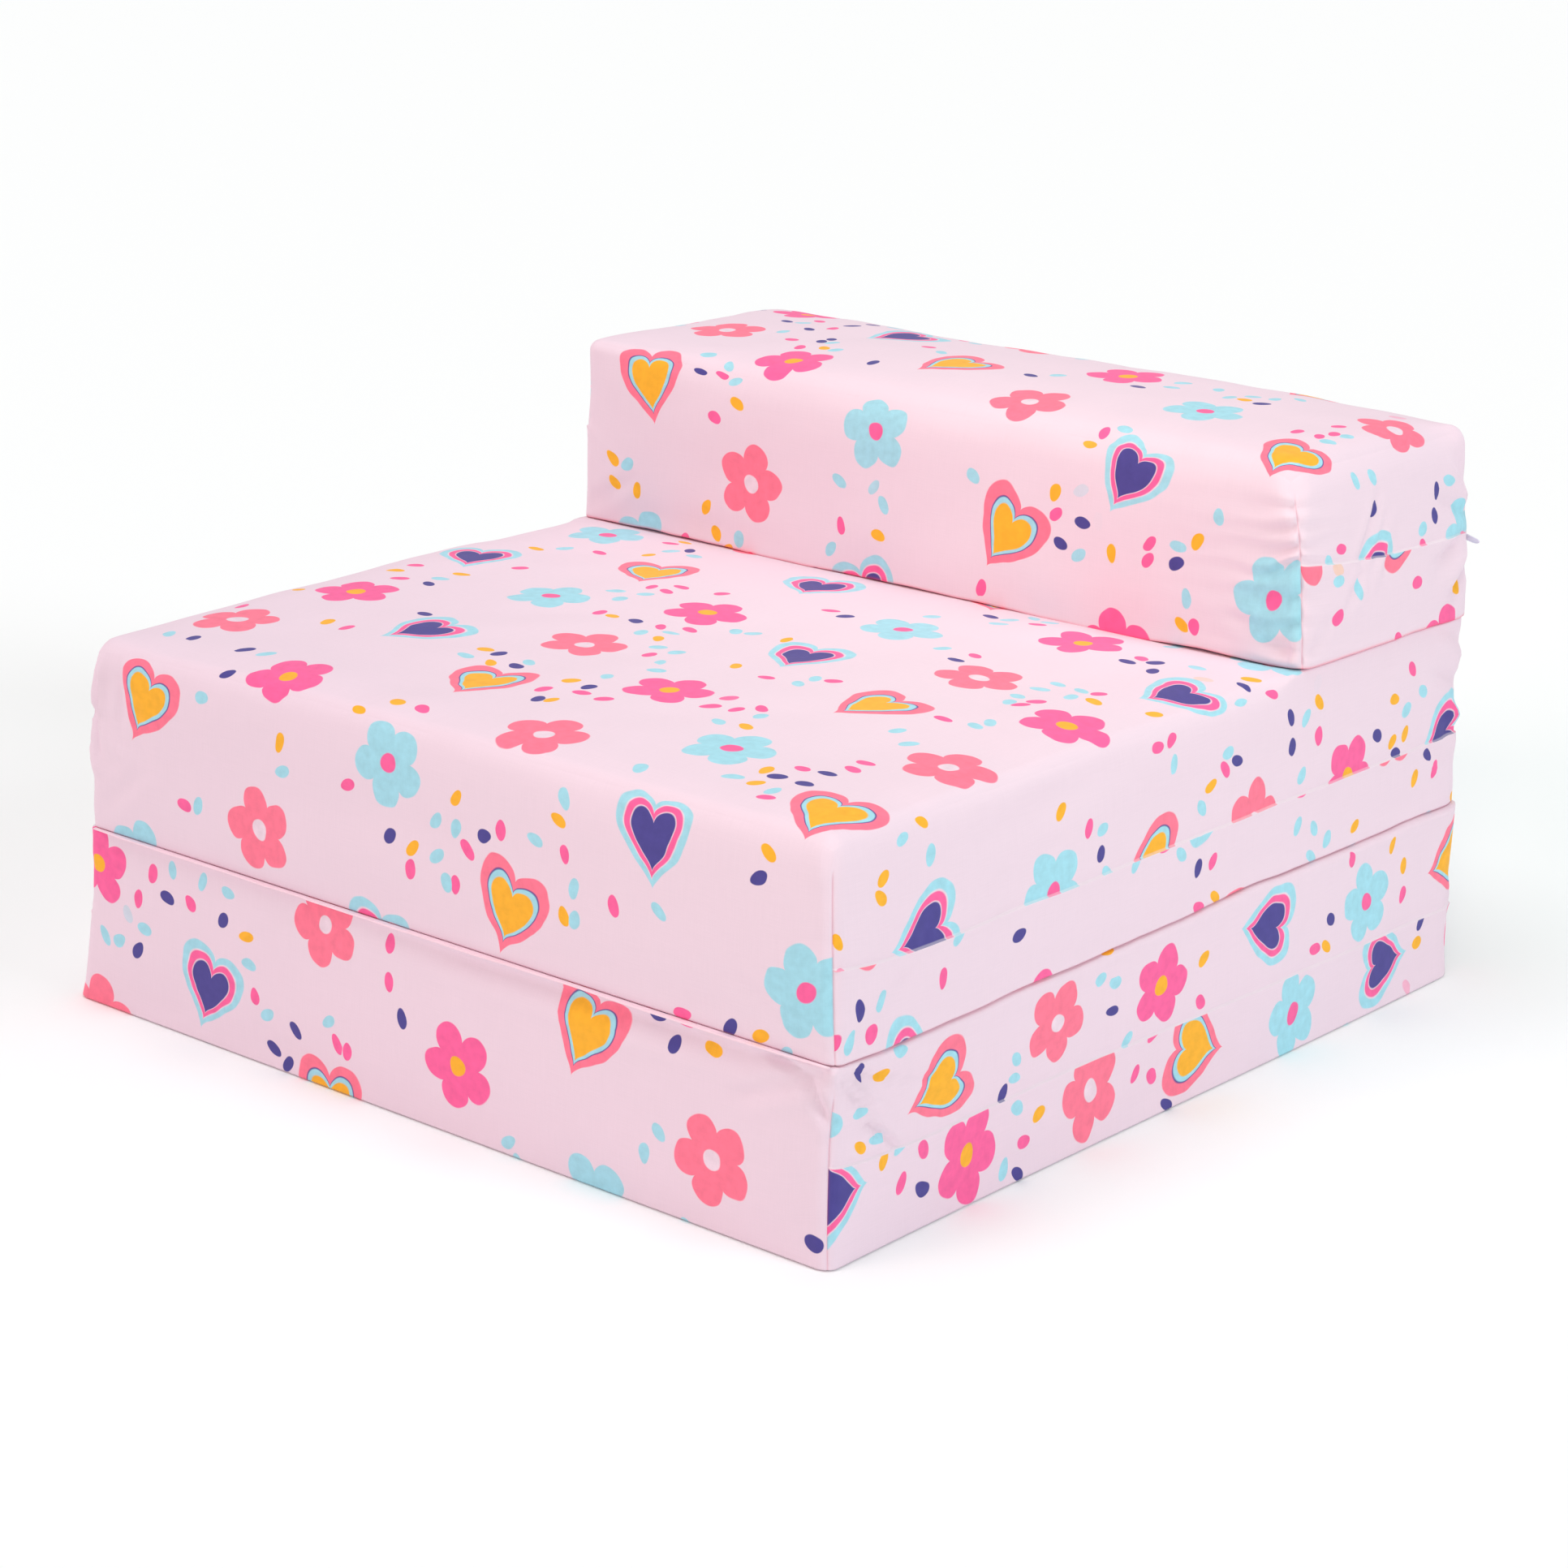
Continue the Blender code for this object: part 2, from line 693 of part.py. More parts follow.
def add_strip(name, edge, facing, level, reach, collection, parent):
    """Folded strip of cloth that hinges two blocks along a crease."""
    bm = bmesh.new()
    half = HALF_WIDTH - CORNER_RADIUS
    path = strip_path(edge, facing, level, reach)
    verts = [bm.verts.new((-half, y, z)) for y, z in path]
    edges = [bm.edges.new(pair) for pair in zip(verts, verts[1:])]
    swept = bmesh.ops.extrude_edge_only(bm, edges=edges)["geom"]
    moved = [item for item in swept if isinstance(item, bmesh.types.BMVert)]
    bmesh.ops.translate(bm, verts=moved, vec=(half * 2, 0.0, 0.0))
    obj = mesh_object(name, bm, collection, cloth_material(name, STRIP_PINK))
    wall = obj.modifiers.new("Cloth", "SOLIDIFY")
    wall.thickness = STRIP_THICKNESS
    wall.offset = 0.0
    wall.use_even_offset = True
    place(obj, (0.0, 0.0, 0.0), parent)
    return obj


def add_block(block, collection, cutters, parent):
    """Everything of one block: cover, foam and zip."""
    add_cover(block, collection, parent)
    add_foam_core(block, collection, parent)
    for side in (1, -1):
        add_tape(block, side, collection, parent)
        add_teeth(block, side, collection, parent)
        add_top_stop(block, side, collection, parent)
    add_bottom_stop(block, collection, parent)
    slider = add_slider(block, collection, cutters, parent)
    add_pull(block, collection, slider)


def blocks():
    """Base, seat and bolster, each resting on the one below."""
    seat_level = BASE_HEIGHT + PIECE_GAP
    seat_height = SEAT_HEIGHT - SEAT_CROWN
    bolster_level = seat_level + seat_height + PIECE_GAP
    bolster_height = BOLSTER_HEIGHT - BOLSTER_CROWN
    base = Block("base", BLOCK_DEPTH, 0.0, BASE_HEIGHT, 0.0, 0.0, BASE_SEAM_SHARE, -1)
    seat = Block(
        "seat", BLOCK_DEPTH, seat_level, seat_height, SEAT_CROWN,
        BLOCK_DEPTH - BOLSTER_DEPTH, SEAT_SEAM_SHARE, -1,
    )
    bolster = Block(
        "bolster", BOLSTER_DEPTH, bolster_level, bolster_height, BOLSTER_CROWN,
        BOLSTER_DEPTH + PRESS_LENGTH, BOLSTER_SEAM_SHARE, 1,
    )
    return base, seat, bolster


def build():
    """Build the whole sofa, folded up as a chair."""
    clear_scene()
    collection = new_collection("flip_open_sofa")
    cutters = new_collection("cutters")
    base, seat, bolster = blocks()
    front_level = seat.underside - PIECE_GAP / 2
    rear_level = bolster.underside - PIECE_GAP / 2
    front_crease = (0.0, -REAR - FRONT_FOLD_REACH, front_level)
    rear_crease = (0.0, REAR + REAR_FOLD_REACH, rear_level)
    seat_carrier = crease_empty("front_crease", front_crease, None, collection)
    bolster_carrier = crease_empty("rear_crease", rear_crease, seat_carrier, collection)
    add_block(base, collection, cutters, None)
    add_block(seat, collection, cutters, seat_carrier)
    add_block(bolster, collection, cutters, bolster_carrier)
    add_strip(
        "front_hinge_strip", -REAR, -1, front_level, FRONT_FOLD_REACH, collection, None
    )
    add_strip(
        "rear_hinge_strip", REAR, 1, rear_level, REAR_FOLD_REACH, collection, seat_carrier
    )


build()
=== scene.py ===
"""Looks of the child's flip open sofa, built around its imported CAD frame.

Three foam blocks in printed cloth covers, two cloth hinge strips and three zips.
Metres, +Z up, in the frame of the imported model. The sofa faces -Y.
"""

import logging
import math
from dataclasses import dataclass
from enum import Enum
from typing import Callable, Sequence
import bmesh
import bpy
import numpy as np
from mathutils import Matrix, Vector, noise


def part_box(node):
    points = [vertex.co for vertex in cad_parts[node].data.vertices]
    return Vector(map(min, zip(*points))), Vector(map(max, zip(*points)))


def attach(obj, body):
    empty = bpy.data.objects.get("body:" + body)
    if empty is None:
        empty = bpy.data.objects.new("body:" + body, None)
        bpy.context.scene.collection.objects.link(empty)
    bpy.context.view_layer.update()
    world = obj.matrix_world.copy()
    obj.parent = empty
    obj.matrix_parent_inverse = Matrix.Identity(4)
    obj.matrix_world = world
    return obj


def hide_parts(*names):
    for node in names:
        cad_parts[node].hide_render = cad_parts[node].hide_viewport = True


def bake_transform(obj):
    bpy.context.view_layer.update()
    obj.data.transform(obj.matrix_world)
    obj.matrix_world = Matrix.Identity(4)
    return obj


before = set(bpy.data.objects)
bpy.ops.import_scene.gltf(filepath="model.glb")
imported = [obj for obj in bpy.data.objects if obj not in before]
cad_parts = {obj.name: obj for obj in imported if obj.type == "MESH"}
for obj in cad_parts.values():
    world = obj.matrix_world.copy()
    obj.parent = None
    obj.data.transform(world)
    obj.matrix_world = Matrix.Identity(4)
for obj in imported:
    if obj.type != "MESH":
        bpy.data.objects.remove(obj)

LOG = logging.getLogger("sofa")

Array = np.ndarray
Colour = tuple[float, float, float]
Point = tuple[float, float, float]
Socket = bpy.types.NodeSocket
Tree = bpy.types.NodeTree
Node = bpy.types.Node
Material = bpy.types.Material
Object = bpy.types.Object
Mesh = bpy.types.Mesh

WIDTH = 0.600
HALF_WIDTH = WIDTH / 2
BLOCK_DEPTH = 0.670
BOLSTER_DEPTH = 0.210
REAR = BLOCK_DEPTH / 2
SLIT_HALF_HEIGHT = 0.0079


def linear(code: str) -> Colour:
    """Linear red, green and blue of a six-digit sRGB code.

    Args:
        code: red, green and blue as hexadecimal digits.

    Returns:
        Three shares between 0 and 1 in linear light.
    """
    shares = [int(code[at:at + 2], 16) / 255 for at in (0, 2, 4)]
    return tuple(s / 12.92 if s <= 0.04045 else ((s + 0.055) / 1.055) ** 2.4 for s in shares)


def ramp(start: float, end: float, value: Array) -> Array:
    """Smooth step from 0 at start to 1 at end.

    Args:
        start: value where the step begins.
        end: value where the step is complete.
        value: values to convert.

    Returns:
        Shares between 0 and 1.
    """
    share = np.clip((np.asarray(value, float) - start) / (end - start), 0.0, 1.0)
    return share * share * (3 - 2 * share)


def bell(gap: Array, width: float = 1.0) -> Array:
    """Share that falls off on both sides of a line.

    Args:
        gap: distance from the line.
        width: distance at which about a third is left.

    Returns:
        Shares between 0 and 1.
    """
    return np.exp(-((gap / width) ** 2))


def lumps(x: Array, y: Array, z: Array) -> Array:
    """Smooth noise at each place, between about -1 and 1."""
    return np.array([noise.noise(Vector(place)) for place in np.broadcast(x, y, z)])


def direction(azimuth: float, elevation: float) -> Vector:
    """Direction from angles in radians: from the front towards the right, and upwards."""
    level = math.cos(elevation)
    return Vector((math.sin(azimuth) * level, -math.cos(azimuth) * level, math.sin(elevation)))


def new_object(name: str, data: bpy.types.ID) -> Object:
    """Make an object and put it in the scene.

    Args:
        name: name of the object.
        data: its mesh, lamp or camera.

    Returns:
        The new object.
    """
    obj = bpy.data.objects.new(name, data)
    bpy.context.scene.collection.objects.link(obj)
    return obj


class Side(Enum):
    """Panels of a cover, named by the way that they face."""

    UNDERSIDE = 0
    TOP = 1
    FRONT = 2
    BACK = 3
    LEFT = 4
    RIGHT = 5


class Wiring:
    """Places nodes in a node tree and joins them."""

    COLOUR_FIRST, COLOUR_SECOND, COLOUR_RESULT = 6, 7, 2
    SPACING = 180.0

    def __init__(self, tree: Tree) -> None:
        """Start wiring a tree."""
        self.tree = tree
        self.count = 0

    def node(self, kind: str, **settings: object) -> Node:
        """Add a node.

        Args:
            kind: Blender's identifier of the node.
            settings: properties of the node and their values.

        Returns:
            The new node.
        """
        placed = self.tree.nodes.new(kind)
        placed.location = (self.count * self.SPACING, 0.0)
        self.count += 1
        for name, value in settings.items():
            setattr(placed, name, value)
        return placed

    def feed(self, socket: Socket, value: object) -> None:
        """Join a socket to an output, or set its value.

        Args:
            socket: input socket.
            value: an output, a value, or None to leave it as it is.
        """
        if isinstance(value, Socket):
            self.tree.links.new(value, socket)
        elif value is not None:
            socket.default_value = value

    def fill(self, placed: Node, **values: object) -> Node:
        """Feed the inputs of a node.

        Args:
            placed: the node.
            values: input names, with _ for a space, and their values.

        Returns:
            The same node.
        """
        for name, value in values.items():
            self.feed(placed.inputs[name.replace("_", " ")], value)
        return placed

    def math(self, operation: str, *terms: object) -> Socket:
        """Work out a number.

        Args:
            operation: name of the operation.
            terms: one to three numbers or outputs.

        Returns:
            The output with the result.
        """
        placed = self.node("ShaderNodeMath", operation=operation)
        for socket, term in zip(placed.inputs, terms):
            self.feed(socket, term)
        return placed.outputs[0]

    def times(self, first: object, second: object) -> Socket:
        """Multiply two numbers."""
        return self.math("MULTIPLY", first, second)

    def plus(self, first: object, second: object) -> Socket:
        """Add two numbers."""
        return self.math("ADD", first, second)

    def minus(self, first: object, second: object) -> Socket:
        """Take the second number from the first."""
        return self.math("SUBTRACT", first, second)

    def vector(self, operation: str, *terms: object, scale: object = None) -> Socket:
        """Work out a vector, or its length.

        Args:
            operation: name of the operation.
            terms: vectors or outputs.
            scale: factor for the scale operation.

        Returns:
            The output with the result.
        """
        placed = self.node("ShaderNodeVectorMath", operation=operation)
        for socket, term in zip(placed.inputs, terms):
            self.feed(socket, term)
        if scale is not None:
            self.feed(placed.inputs["Scale"], scale)
        return placed.outputs["Value" if operation == "LENGTH" else "Vector"]

    def mix(self, share: object, first: object, second: object) -> Socket:
        """Mix two colours.

        Args:
            share: how much of the second.
            first: colour or output.
            second: colour or output.

        Returns:
            The output with the mixed colour.
        """
        placed = self.node("ShaderNodeMix", data_type="RGBA")
        self.feed(placed.inputs[0], share)
        self.feed(placed.inputs[self.COLOUR_FIRST], first)
        self.feed(placed.inputs[self.COLOUR_SECOND], second)
        return placed.outputs[self.COLOUR_RESULT]

    def step(self, value: object, low: object, high: object) -> Socket:
        """Smooth step of a number between two values.

        Args:
            value: number or output to convert.
            low: value where the step begins.
            high: value where the step is complete.

        Returns:
            The output with a share between 0 and 1.
        """
        placed = self.node("ShaderNodeMapRange", interpolation_type="SMOOTHSTEP")
        return self.fill(placed, Value=value, From_Min=low, From_Max=high).outputs["Result"]

    def within(self, away: object, reach: object, edge: object) -> Socket:
        """Mask of the places inside a reach, with an edge that is soft both ways."""
        return self.step(away, self.plus(reach, edge), self.minus(reach, edge))

    def grain(self, place: object, scale: float, detail: float = 2.0) -> Socket:
        """Noise around a half.

        Args:
            place: output with the coordinates.
            scale: how many lumps to a metre.
            detail: octaves of finer noise.

        Returns:
            The output with the noise.
        """
        placed = self.fill(self.node("ShaderNodeTexNoise"), Vector=place, Scale=scale, Detail=detail)
        return placed.outputs["Fac"]

    def stretch(self, place: object, factors: Point) -> Socket:
        """Multiply coordinates by a factor for each axis."""
        return self.vector("MULTIPLY", place, factors)

    def turned(self, place: object, angle: object) -> Socket:
        """Turn coordinates about Z.

        Args:
            place: output with the coordinates.
            angle: angle in radians.

        Returns:
            The output with the turned coordinates.
        """
        placed = self.node("ShaderNodeVectorRotate", rotation_type="Z_AXIS")
        return self.fill(placed, Vector=place, Angle=angle).outputs["Vector"]

    def object_place(self) -> Socket:
        """Coordinates of the object, in metres."""
        return self.node("ShaderNodeTexCoord").outputs["Object"]

    def attribute(self, name: str) -> Socket:
        """Number that the mesh holds under a name."""
        return self.node("ShaderNodeAttribute", attribute_name=name).outputs["Fac"]

    def split(self, place: object) -> tuple[Socket, Socket, Socket]:
        """Split a vector into its numbers.

        Args:
            place: output with the vector.

        Returns:
            The outputs with X, Y and Z.
        """
        placed = self.node("ShaderNodeSeparateXYZ")
        self.feed(placed.inputs[0], place)
        return tuple(placed.outputs)

    def joined(self, x: object, y: object, z: object = 0.0) -> Socket:
        """Join numbers into a vector.

        Args:
            x: number or output.
            y: number or output.
            z: number or output.

        Returns:
            The output with the vector.
        """
        placed = self.node("ShaderNodeCombineXYZ")
        for socket, value in zip(placed.inputs, (x, y, z)):
            self.feed(socket, value)
        return placed.outputs[0]

    def group(self, tree: Tree, **values: object) -> Node:
        """Place a node group.

        Args:
            tree: the group.
            values: input names, with _ for a space, and their values.

        Returns:
            The group node.
        """
        return self.fill(self.node("ShaderNodeGroup", node_tree=tree), **values)


def shader_group(name: str, inputs: dict[str, object], outputs: dict[str, str]) -> tuple[
        Tree, Wiring, Node, Node]:
    """Make an empty shader node group.

    Args:
        name: name of the group.
        inputs: input names with a default number, colour or None for a vector.
        outputs: output names with their socket types.

    Returns:
        The group, its wiring, its input node and its output node.
    """
    tree = bpy.data.node_groups.new(name, "ShaderNodeTree")
    for title, value in inputs.items():
        kind = "NodeSocketVector" if value is None else "NodeSocketFloat"
        kind = "NodeSocketColor" if isinstance(value, tuple) else kind
        socket = tree.interface.new_socket(title, in_out="INPUT", socket_type=kind)
        if isinstance(value, tuple):
            socket.default_value = (*value, 1.0)
        elif value is not None:
            socket.default_value = value
    for title, kind in outputs.items():
        tree.interface.new_socket(title, in_out="OUTPUT", socket_type=kind)
    wiring = Wiring(tree)
    return tree, wiring, wiring.node("NodeGroupInput"), wiring.node("NodeGroupOutput")


class ClothGroups:
    """Shader node groups that the finishes share, each built once.

    Lengths are in metres and scales in lumps to a metre. Motifs stand one to a cell, with
    every second column of cells half a cell higher.
    """

    CELL_X, CELL_Y = 0.104, 0.112
    JITTER = 0.018
    KINDS = 5
    SAME_KIND = 0.4
    MOTIF_RADIUS = 0.028
    MOTIF_TURN = 1.1
    PRINTED_EDGE = 0.0005
    WOBBLE, WOBBLE_SCALE, WOBBLE_DETAIL = 0.0045, 62.0, 0.6
    PETAL = 0.0036
    PETAL_SQUASH = 0.62
    PETAL_SCALE, PETAL_SCATTER = 54.0, 0.7
    PETAL_SHARE = 0.78
    CLUMPS, CLUMP_LIMIT = 15.0, 0.56
    CLEAR_START, CLEAR_END = 0.0385, 0.0395
    HALF = (0.5, 0.5, 0.5)
    HEARTS = (
        (1.0, ((1.0, "Sky"), (0.80, "Ground"), (0.765, "Rose"), (0.60, "Ground"), (0.575, "Navy"))),
        (3.0, ((1.0, "Coral"), (0.74, "Navy"), (0.71, "Sky"), (0.60, "Amber"))),
    )

    def __init__(self) -> None:
        """Build every group."""
        self.cell = self.motif_cell()
        self.print = self.flower_print()
        self.weave = self.plain_weave()
        self.wear = self.surface_wear()

    def motif_cell(self) -> Tree:
        """Group that finds the motif cell round a place on the cloth.

        Returns:
            The group: its place in the cell, three random numbers and its kind.
        """
        tree, wire, entry, leave = shader_group(
            "Motif cell", {"Place": None},
            {"Local": "NodeSocketVector", "Random": "NodeSocketVector", "Kind": "NodeSocketFloat"},
        )
        across, along, _ = wire.split(entry.outputs["Place"])
        across = wire.math("DIVIDE", across, self.CELL_X)
        column = wire.math("FLOOR", across)
        odd = wire.math("FLOORED_MODULO", column, 2.0)
        along = wire.math("MULTIPLY_ADD", odd, 0.5, wire.math("DIVIDE", along, self.CELL_Y))
        row = wire.math("FLOOR", along)
        local = wire.joined(
            wire.minus(wire.minus(across, column), 0.5),
            wire.minus(wire.minus(along, row), 0.5),
        )
        chance = wire.node("ShaderNodeTexWhiteNoise", noise_dimensions="2D")
        random = wire.fill(chance, Vector=wire.joined(column, row)).outputs["Color"]
        jitter = wire.vector("SCALE", wire.vector("SUBTRACT", random, self.HALF), scale=self.JITTER)
        local = wire.vector("SUBTRACT", wire.stretch(local, (self.CELL_X, self.CELL_Y, 0.0)), jitter)
        kind = wire.plus(wire.times(column, 2.0), row)
        flat = wire.stretch(local, (1.0, 1.0, 0.0))
        number = wire.math("FLOORED_MODULO", kind, float(self.KINDS))
        wire.fill(leave, Local=flat, Random=random, Kind=number)
        return tree

    def flower_print(self) -> Tree:
        """Group for the print: flowers, banded hearts and scattered petals.

        Returns:
            The group: the cloth's colour and where it is inked.
        """
        inks = {"Ground": (1, 1, 1), "Rose": (1, 0, 0), "Coral": (1, 0, 0), "Sky": (0, 1, 1),
                "Navy": (0, 0, 1), "Amber": (1, 1, 0)}
        tree, wire, entry, leave = shader_group(
            "Flower print",
            {"Place": None, **inks, "Motif": self.MOTIF_RADIUS, "Edge": self.PRINTED_EDGE},
            {"Colour": "NodeSocketColor", "Ink": "NodeSocketFloat"},
        )
        paints = entry.outputs
        size, edge = paints["Motif"], paints["Edge"]
        shift = wire.fill(wire.node("ShaderNodeTexNoise"), Vector=paints["Place"],
                          Scale=self.WOBBLE_SCALE, Detail=self.WOBBLE_DETAIL)
        wobble = wire.vector("SUBTRACT", shift.outputs["Color"], self.HALF)
        wobble = wire.vector("SCALE", wobble, scale=self.WOBBLE)
        place = wire.vector("ADD", paints["Place"], wobble)

        colour, ink = self.scattered_petals(wire, place, paints)
        cell = wire.group(self.cell, Place=place)
        _, _, chance = wire.split(cell.outputs["Random"])
        angle = wire.times(wire.minus(chance, 0.5), self.MOTIF_TURN)
        local = wire.turned(cell.outputs["Local"], angle)
        petals, middle = self.flower(wire, local, size, edge)
        heart = self.heart_depth(wire, local, size)
        blurred = wire.math("DIVIDE", edge, size)
        for number, petal, core in ((0.0, "Rose", "Amber"), (2.0, "Sky", "Rose"), (4.0, "Coral", "Ground")):
            chosen = wire.math("COMPARE", cell.outputs["Kind"], number, self.SAME_KIND)
            shown = wire.times(chosen, petals)
            colour = wire.mix(shown, colour, paints[petal])
            colour = wire.mix(wire.times(chosen, middle), colour, paints[core])
            ink = wire.math("MAXIMUM", ink, shown)
        for number, rings in self.HEARTS:
            chosen = wire.math("COMPARE", cell.outputs["Kind"], number, self.SAME_KIND)
            for reach, paint in rings:
                solid = wire.math("MULTIPLY_ADD", blurred, -2.0, reach)
                shown = wire.times(chosen, wire.step(heart, reach, solid))
                colour = wire.mix(shown, colour, paints[paint])
                if reach == 1.0:
                    ink = wire.math("MAXIMUM", ink, shown)
        wire.fill(leave, Colour=colour, Ink=ink)
        return tree

    def scattered_petals(self, wire: Wiring, place: Socket,
                         paints: dict[str, Socket]) -> tuple[Socket, Socket]:
        """Small loose petals in the spaces between the motifs.

        Args:
            wire: the print group's wiring.
            place: where on the cloth, in metres.
            paints: the print group's inputs, with its colours and its edge.

        Returns:
            The colour so far, and the petals' mask.
        """
        scatter = wire.node("ShaderNodeTexVoronoi", voronoi_dimensions="2D", feature="F1")
        wire.fill(scatter, Vector=place, Scale=self.PETAL_SCALE, Randomness=self.PETAL_SCATTER)
        centre = scatter.outputs["Position"]
        first, second, third = wire.split(scatter.outputs["Color"])
        local = wire.turned(wire.vector("SUBTRACT", place, centre), wire.times(first, math.pi))
        away = wire.vector("LENGTH", wire.stretch(local, (1.0, self.PETAL_SQUASH, 0.0)))
        inside = wire.step(away, wire.plus(paints["Edge"], self.PETAL), self.PETAL)
        near = wire.group(self.cell, Place=centre)
        away = wire.vector("LENGTH", near.outputs["Local"])
        clear = wire.step(away, self.CLEAR_START, self.CLEAR_END)
        clump = wire.math("GREATER_THAN", wire.grain(centre, self.CLUMPS, 0.0), self.CLUMP_LIMIT)
        shown = wire.times(wire.math("LESS_THAN", second, self.PETAL_SHARE), clump)
        mask = wire.times(wire.times(inside, clear), shown)
        paint = paints["Sky"]
        for limit, name in ((0.64, "Rose"), (0.40, "Navy"), (0.20, "Amber")):
            paint = wire.mix(wire.math("LESS_THAN", third, limit), paint, paints[name])
        return wire.mix(mask, paints["Ground"], paint), mask

    @staticmethod
    def flower(wire: Wiring, local: Socket, size: Socket, edge: Socket) -> tuple[Socket, Socket]:
        """Masks of a flower of five round petals and of its middle.

        Args:
            wire: the print group's wiring.
            local: place from the flower's centre.
            size: the flower's radius.
            edge: softness of the printed edge.

        Returns:
            The mask of the petals and the mask of the middle.
        """
        x, y, _ = wire.split(local)
        away = wire.vector("LENGTH", local)
        angle = wire.times(wire.math("ARCTAN2", y, x), 2.5)
        lobe = wire.math("POWER", wire.math("ABSOLUTE", wire.math("COSINE", angle)), 0.75)
        reach = wire.times(size, wire.math("MULTIPLY_ADD", lobe, 0.38, 0.62))
        core = wire.times(size, 0.22)
        return wire.within(away, reach, edge), wire.within(away, core, edge)

    @staticmethod
    def heart_depth(wire: Wiring, local: Socket, size: Socket) -> Socket:
        """How far out a place lies in a heart.

        Args:
            wire: the print group's wiring.
            local: place from the heart's centre.
            size: half the heart's width.

        Returns:
            The output with 0 at the middle and 1 at the edge.
        """
        x, y, _ = wire.split(local)
        side = wire.math("ABSOLUTE", wire.math("DIVIDE", x, size))
        lift = wire.times(wire.math("POWER", side, 0.62), 0.72)
        rise = wire.minus(wire.plus(wire.math("DIVIDE", y, size), 0.12), lift)
        return wire.vector("LENGTH", wire.joined(side, wire.times(rise, 1.12)))

    @staticmethod
    def plain_weave() -> Tree:
        """Group for woven threads, with uneven yarn and slubs.

        Returns:
            The group: the threads' height and their shade.
        """
        tree, wire, entry, leave = shader_group(
            "Plain weave", {"Place": None, "Thread": 0.0006, "Slub": 0.5},
            {"Height": "NodeSocketFloat", "Shade": "NodeSocketFloat"},
        )
        place, thread = entry.outputs["Place"], entry.outputs["Thread"]
        scaled = wire.vector("SCALE", place, scale=wire.math("DIVIDE", math.pi, thread))
        across, along, _ = wire.split(scaled)
        crossing = wire.times(wire.math("SINE", across), wire.math("SINE", along))
        warp = wire.grain(wire.stretch(place, (1500.0, 45.0, 1.0)), 1.0, 3.0)
        weft = wire.grain(wire.stretch(place, (40.0, 1700.0, 1.0)), 1.0, 3.0)
        yarn = wire.plus(warp, weft)
        slubs = wire.times(yarn, entry.outputs["Slub"])
        height = wire.math("MULTIPLY_ADD", crossing, 0.5, slubs)
        wire.fill(leave, Height=height, Shade=wire.minus(yarn, 1.0))
        return tree

    @staticmethod
    def surface_wear() -> Tree:
        """Group for handling marks: blotches and fine scratches.

        Returns:
            The group: a mark mask and a height.
        """
        tree, wire, entry, leave = shader_group(
            "Handling marks", {"Place": None, "Size": 0.004},
            {"Mark": "NodeSocketFloat", "Height": "NodeSocketFloat"},
        )
        factor = wire.math("DIVIDE", 1.0, entry.outputs["Size"])
        scaled = wire.vector("SCALE", entry.outputs["Place"], scale=factor)
        blotch = wire.grain(scaled, 1.0, 4.0)
        scratch = wire.grain(wire.stretch(scaled, (1.0, 9.0, 14.0)), 2.0, 2.0)
        wire.fill(leave, Mark=wire.step(wire.times(blotch, scratch), 0.24, 0.42), Height=scratch)
        return tree


@dataclass
class Surface:
    """A material in the making."""

    wire: Wiring
    shader: Node
    groups: ClothGroups

    def give(self, **values: object) -> None:
        """Feed inputs of the shader, by their names with _ for a space."""
        self.wire.fill(self.shader, **values)

    def weave(self, place: Socket, thread: float, slub: float) -> tuple[Socket, Socket]:
        """Weave the surface.

        Args:
            place: output with the coordinates.
            thread: width of a thread.
            slub: how uneven the yarn is.

        Returns:
            The threads' height and their shade.
        """
        woven = self.wire.group(self.groups.weave, Place=place, Thread=thread, Slub=slub)
        return woven.outputs["Height"], woven.outputs["Shade"]

    def lit(self, shade: Socket, strength: float, light: object = 1.0) -> Socket:
        """Make a light factor lighter or darker by a shade."""
        return self.wire.math("MULTIPLY_ADD", shade, strength, light)

    def paint(self, colour: object, light: Socket) -> None:
        """Give the shader a colour times a light factor."""
        self.give(Base_Color=self.wire.vector("SCALE", colour, scale=light))

    def bump(self, height: Socket, strength: float, distance: float) -> None:
        """Raise the surface.

        Args:
            height: output with the height.
            strength: how much of the bump shows.
            distance: height of a whole step, in metres.
        """
        bump = self.wire.node("ShaderNodeBump")
        self.wire.fill(bump, Strength=strength, Distance=distance, Height=height)
        self.give(Normal=bump.outputs["Normal"])

    def soft_sheen(self, weight: float) -> None:
        """Give cloth its sheen."""
        self.give(Sheen_Weight=weight, Sheen_Roughness=0.45, Specular_IOR_Level=0.25)


@dataclass(frozen=True)
class Finish:
    """What every finish has: a name, a colour and a roughness."""

    name: str
    colour: Colour
    roughness: float

    def material(self, groups: ClothGroups) -> Material:
        """Build the material.

        Args:
            groups: the shared node groups.

        Returns:
            The finished material.
        """
        material = bpy.data.materials.new(self.name)
        material.use_nodes = True
        surface = Surface(Wiring(material.node_tree), material.node_tree.nodes["Principled BSDF"], groups)
        surface.give(Base_Color=(*self.colour, 1.0), Roughness=self.roughness)
        self.apply(surface, surface.wire)
        return material

    def apply(self, surface: Surface, wire: Wiring) -> None:
        """Add what the finish has besides its plain colour and roughness.

        Args:
            surface: the material in the making.
            wire: its wiring.
        """


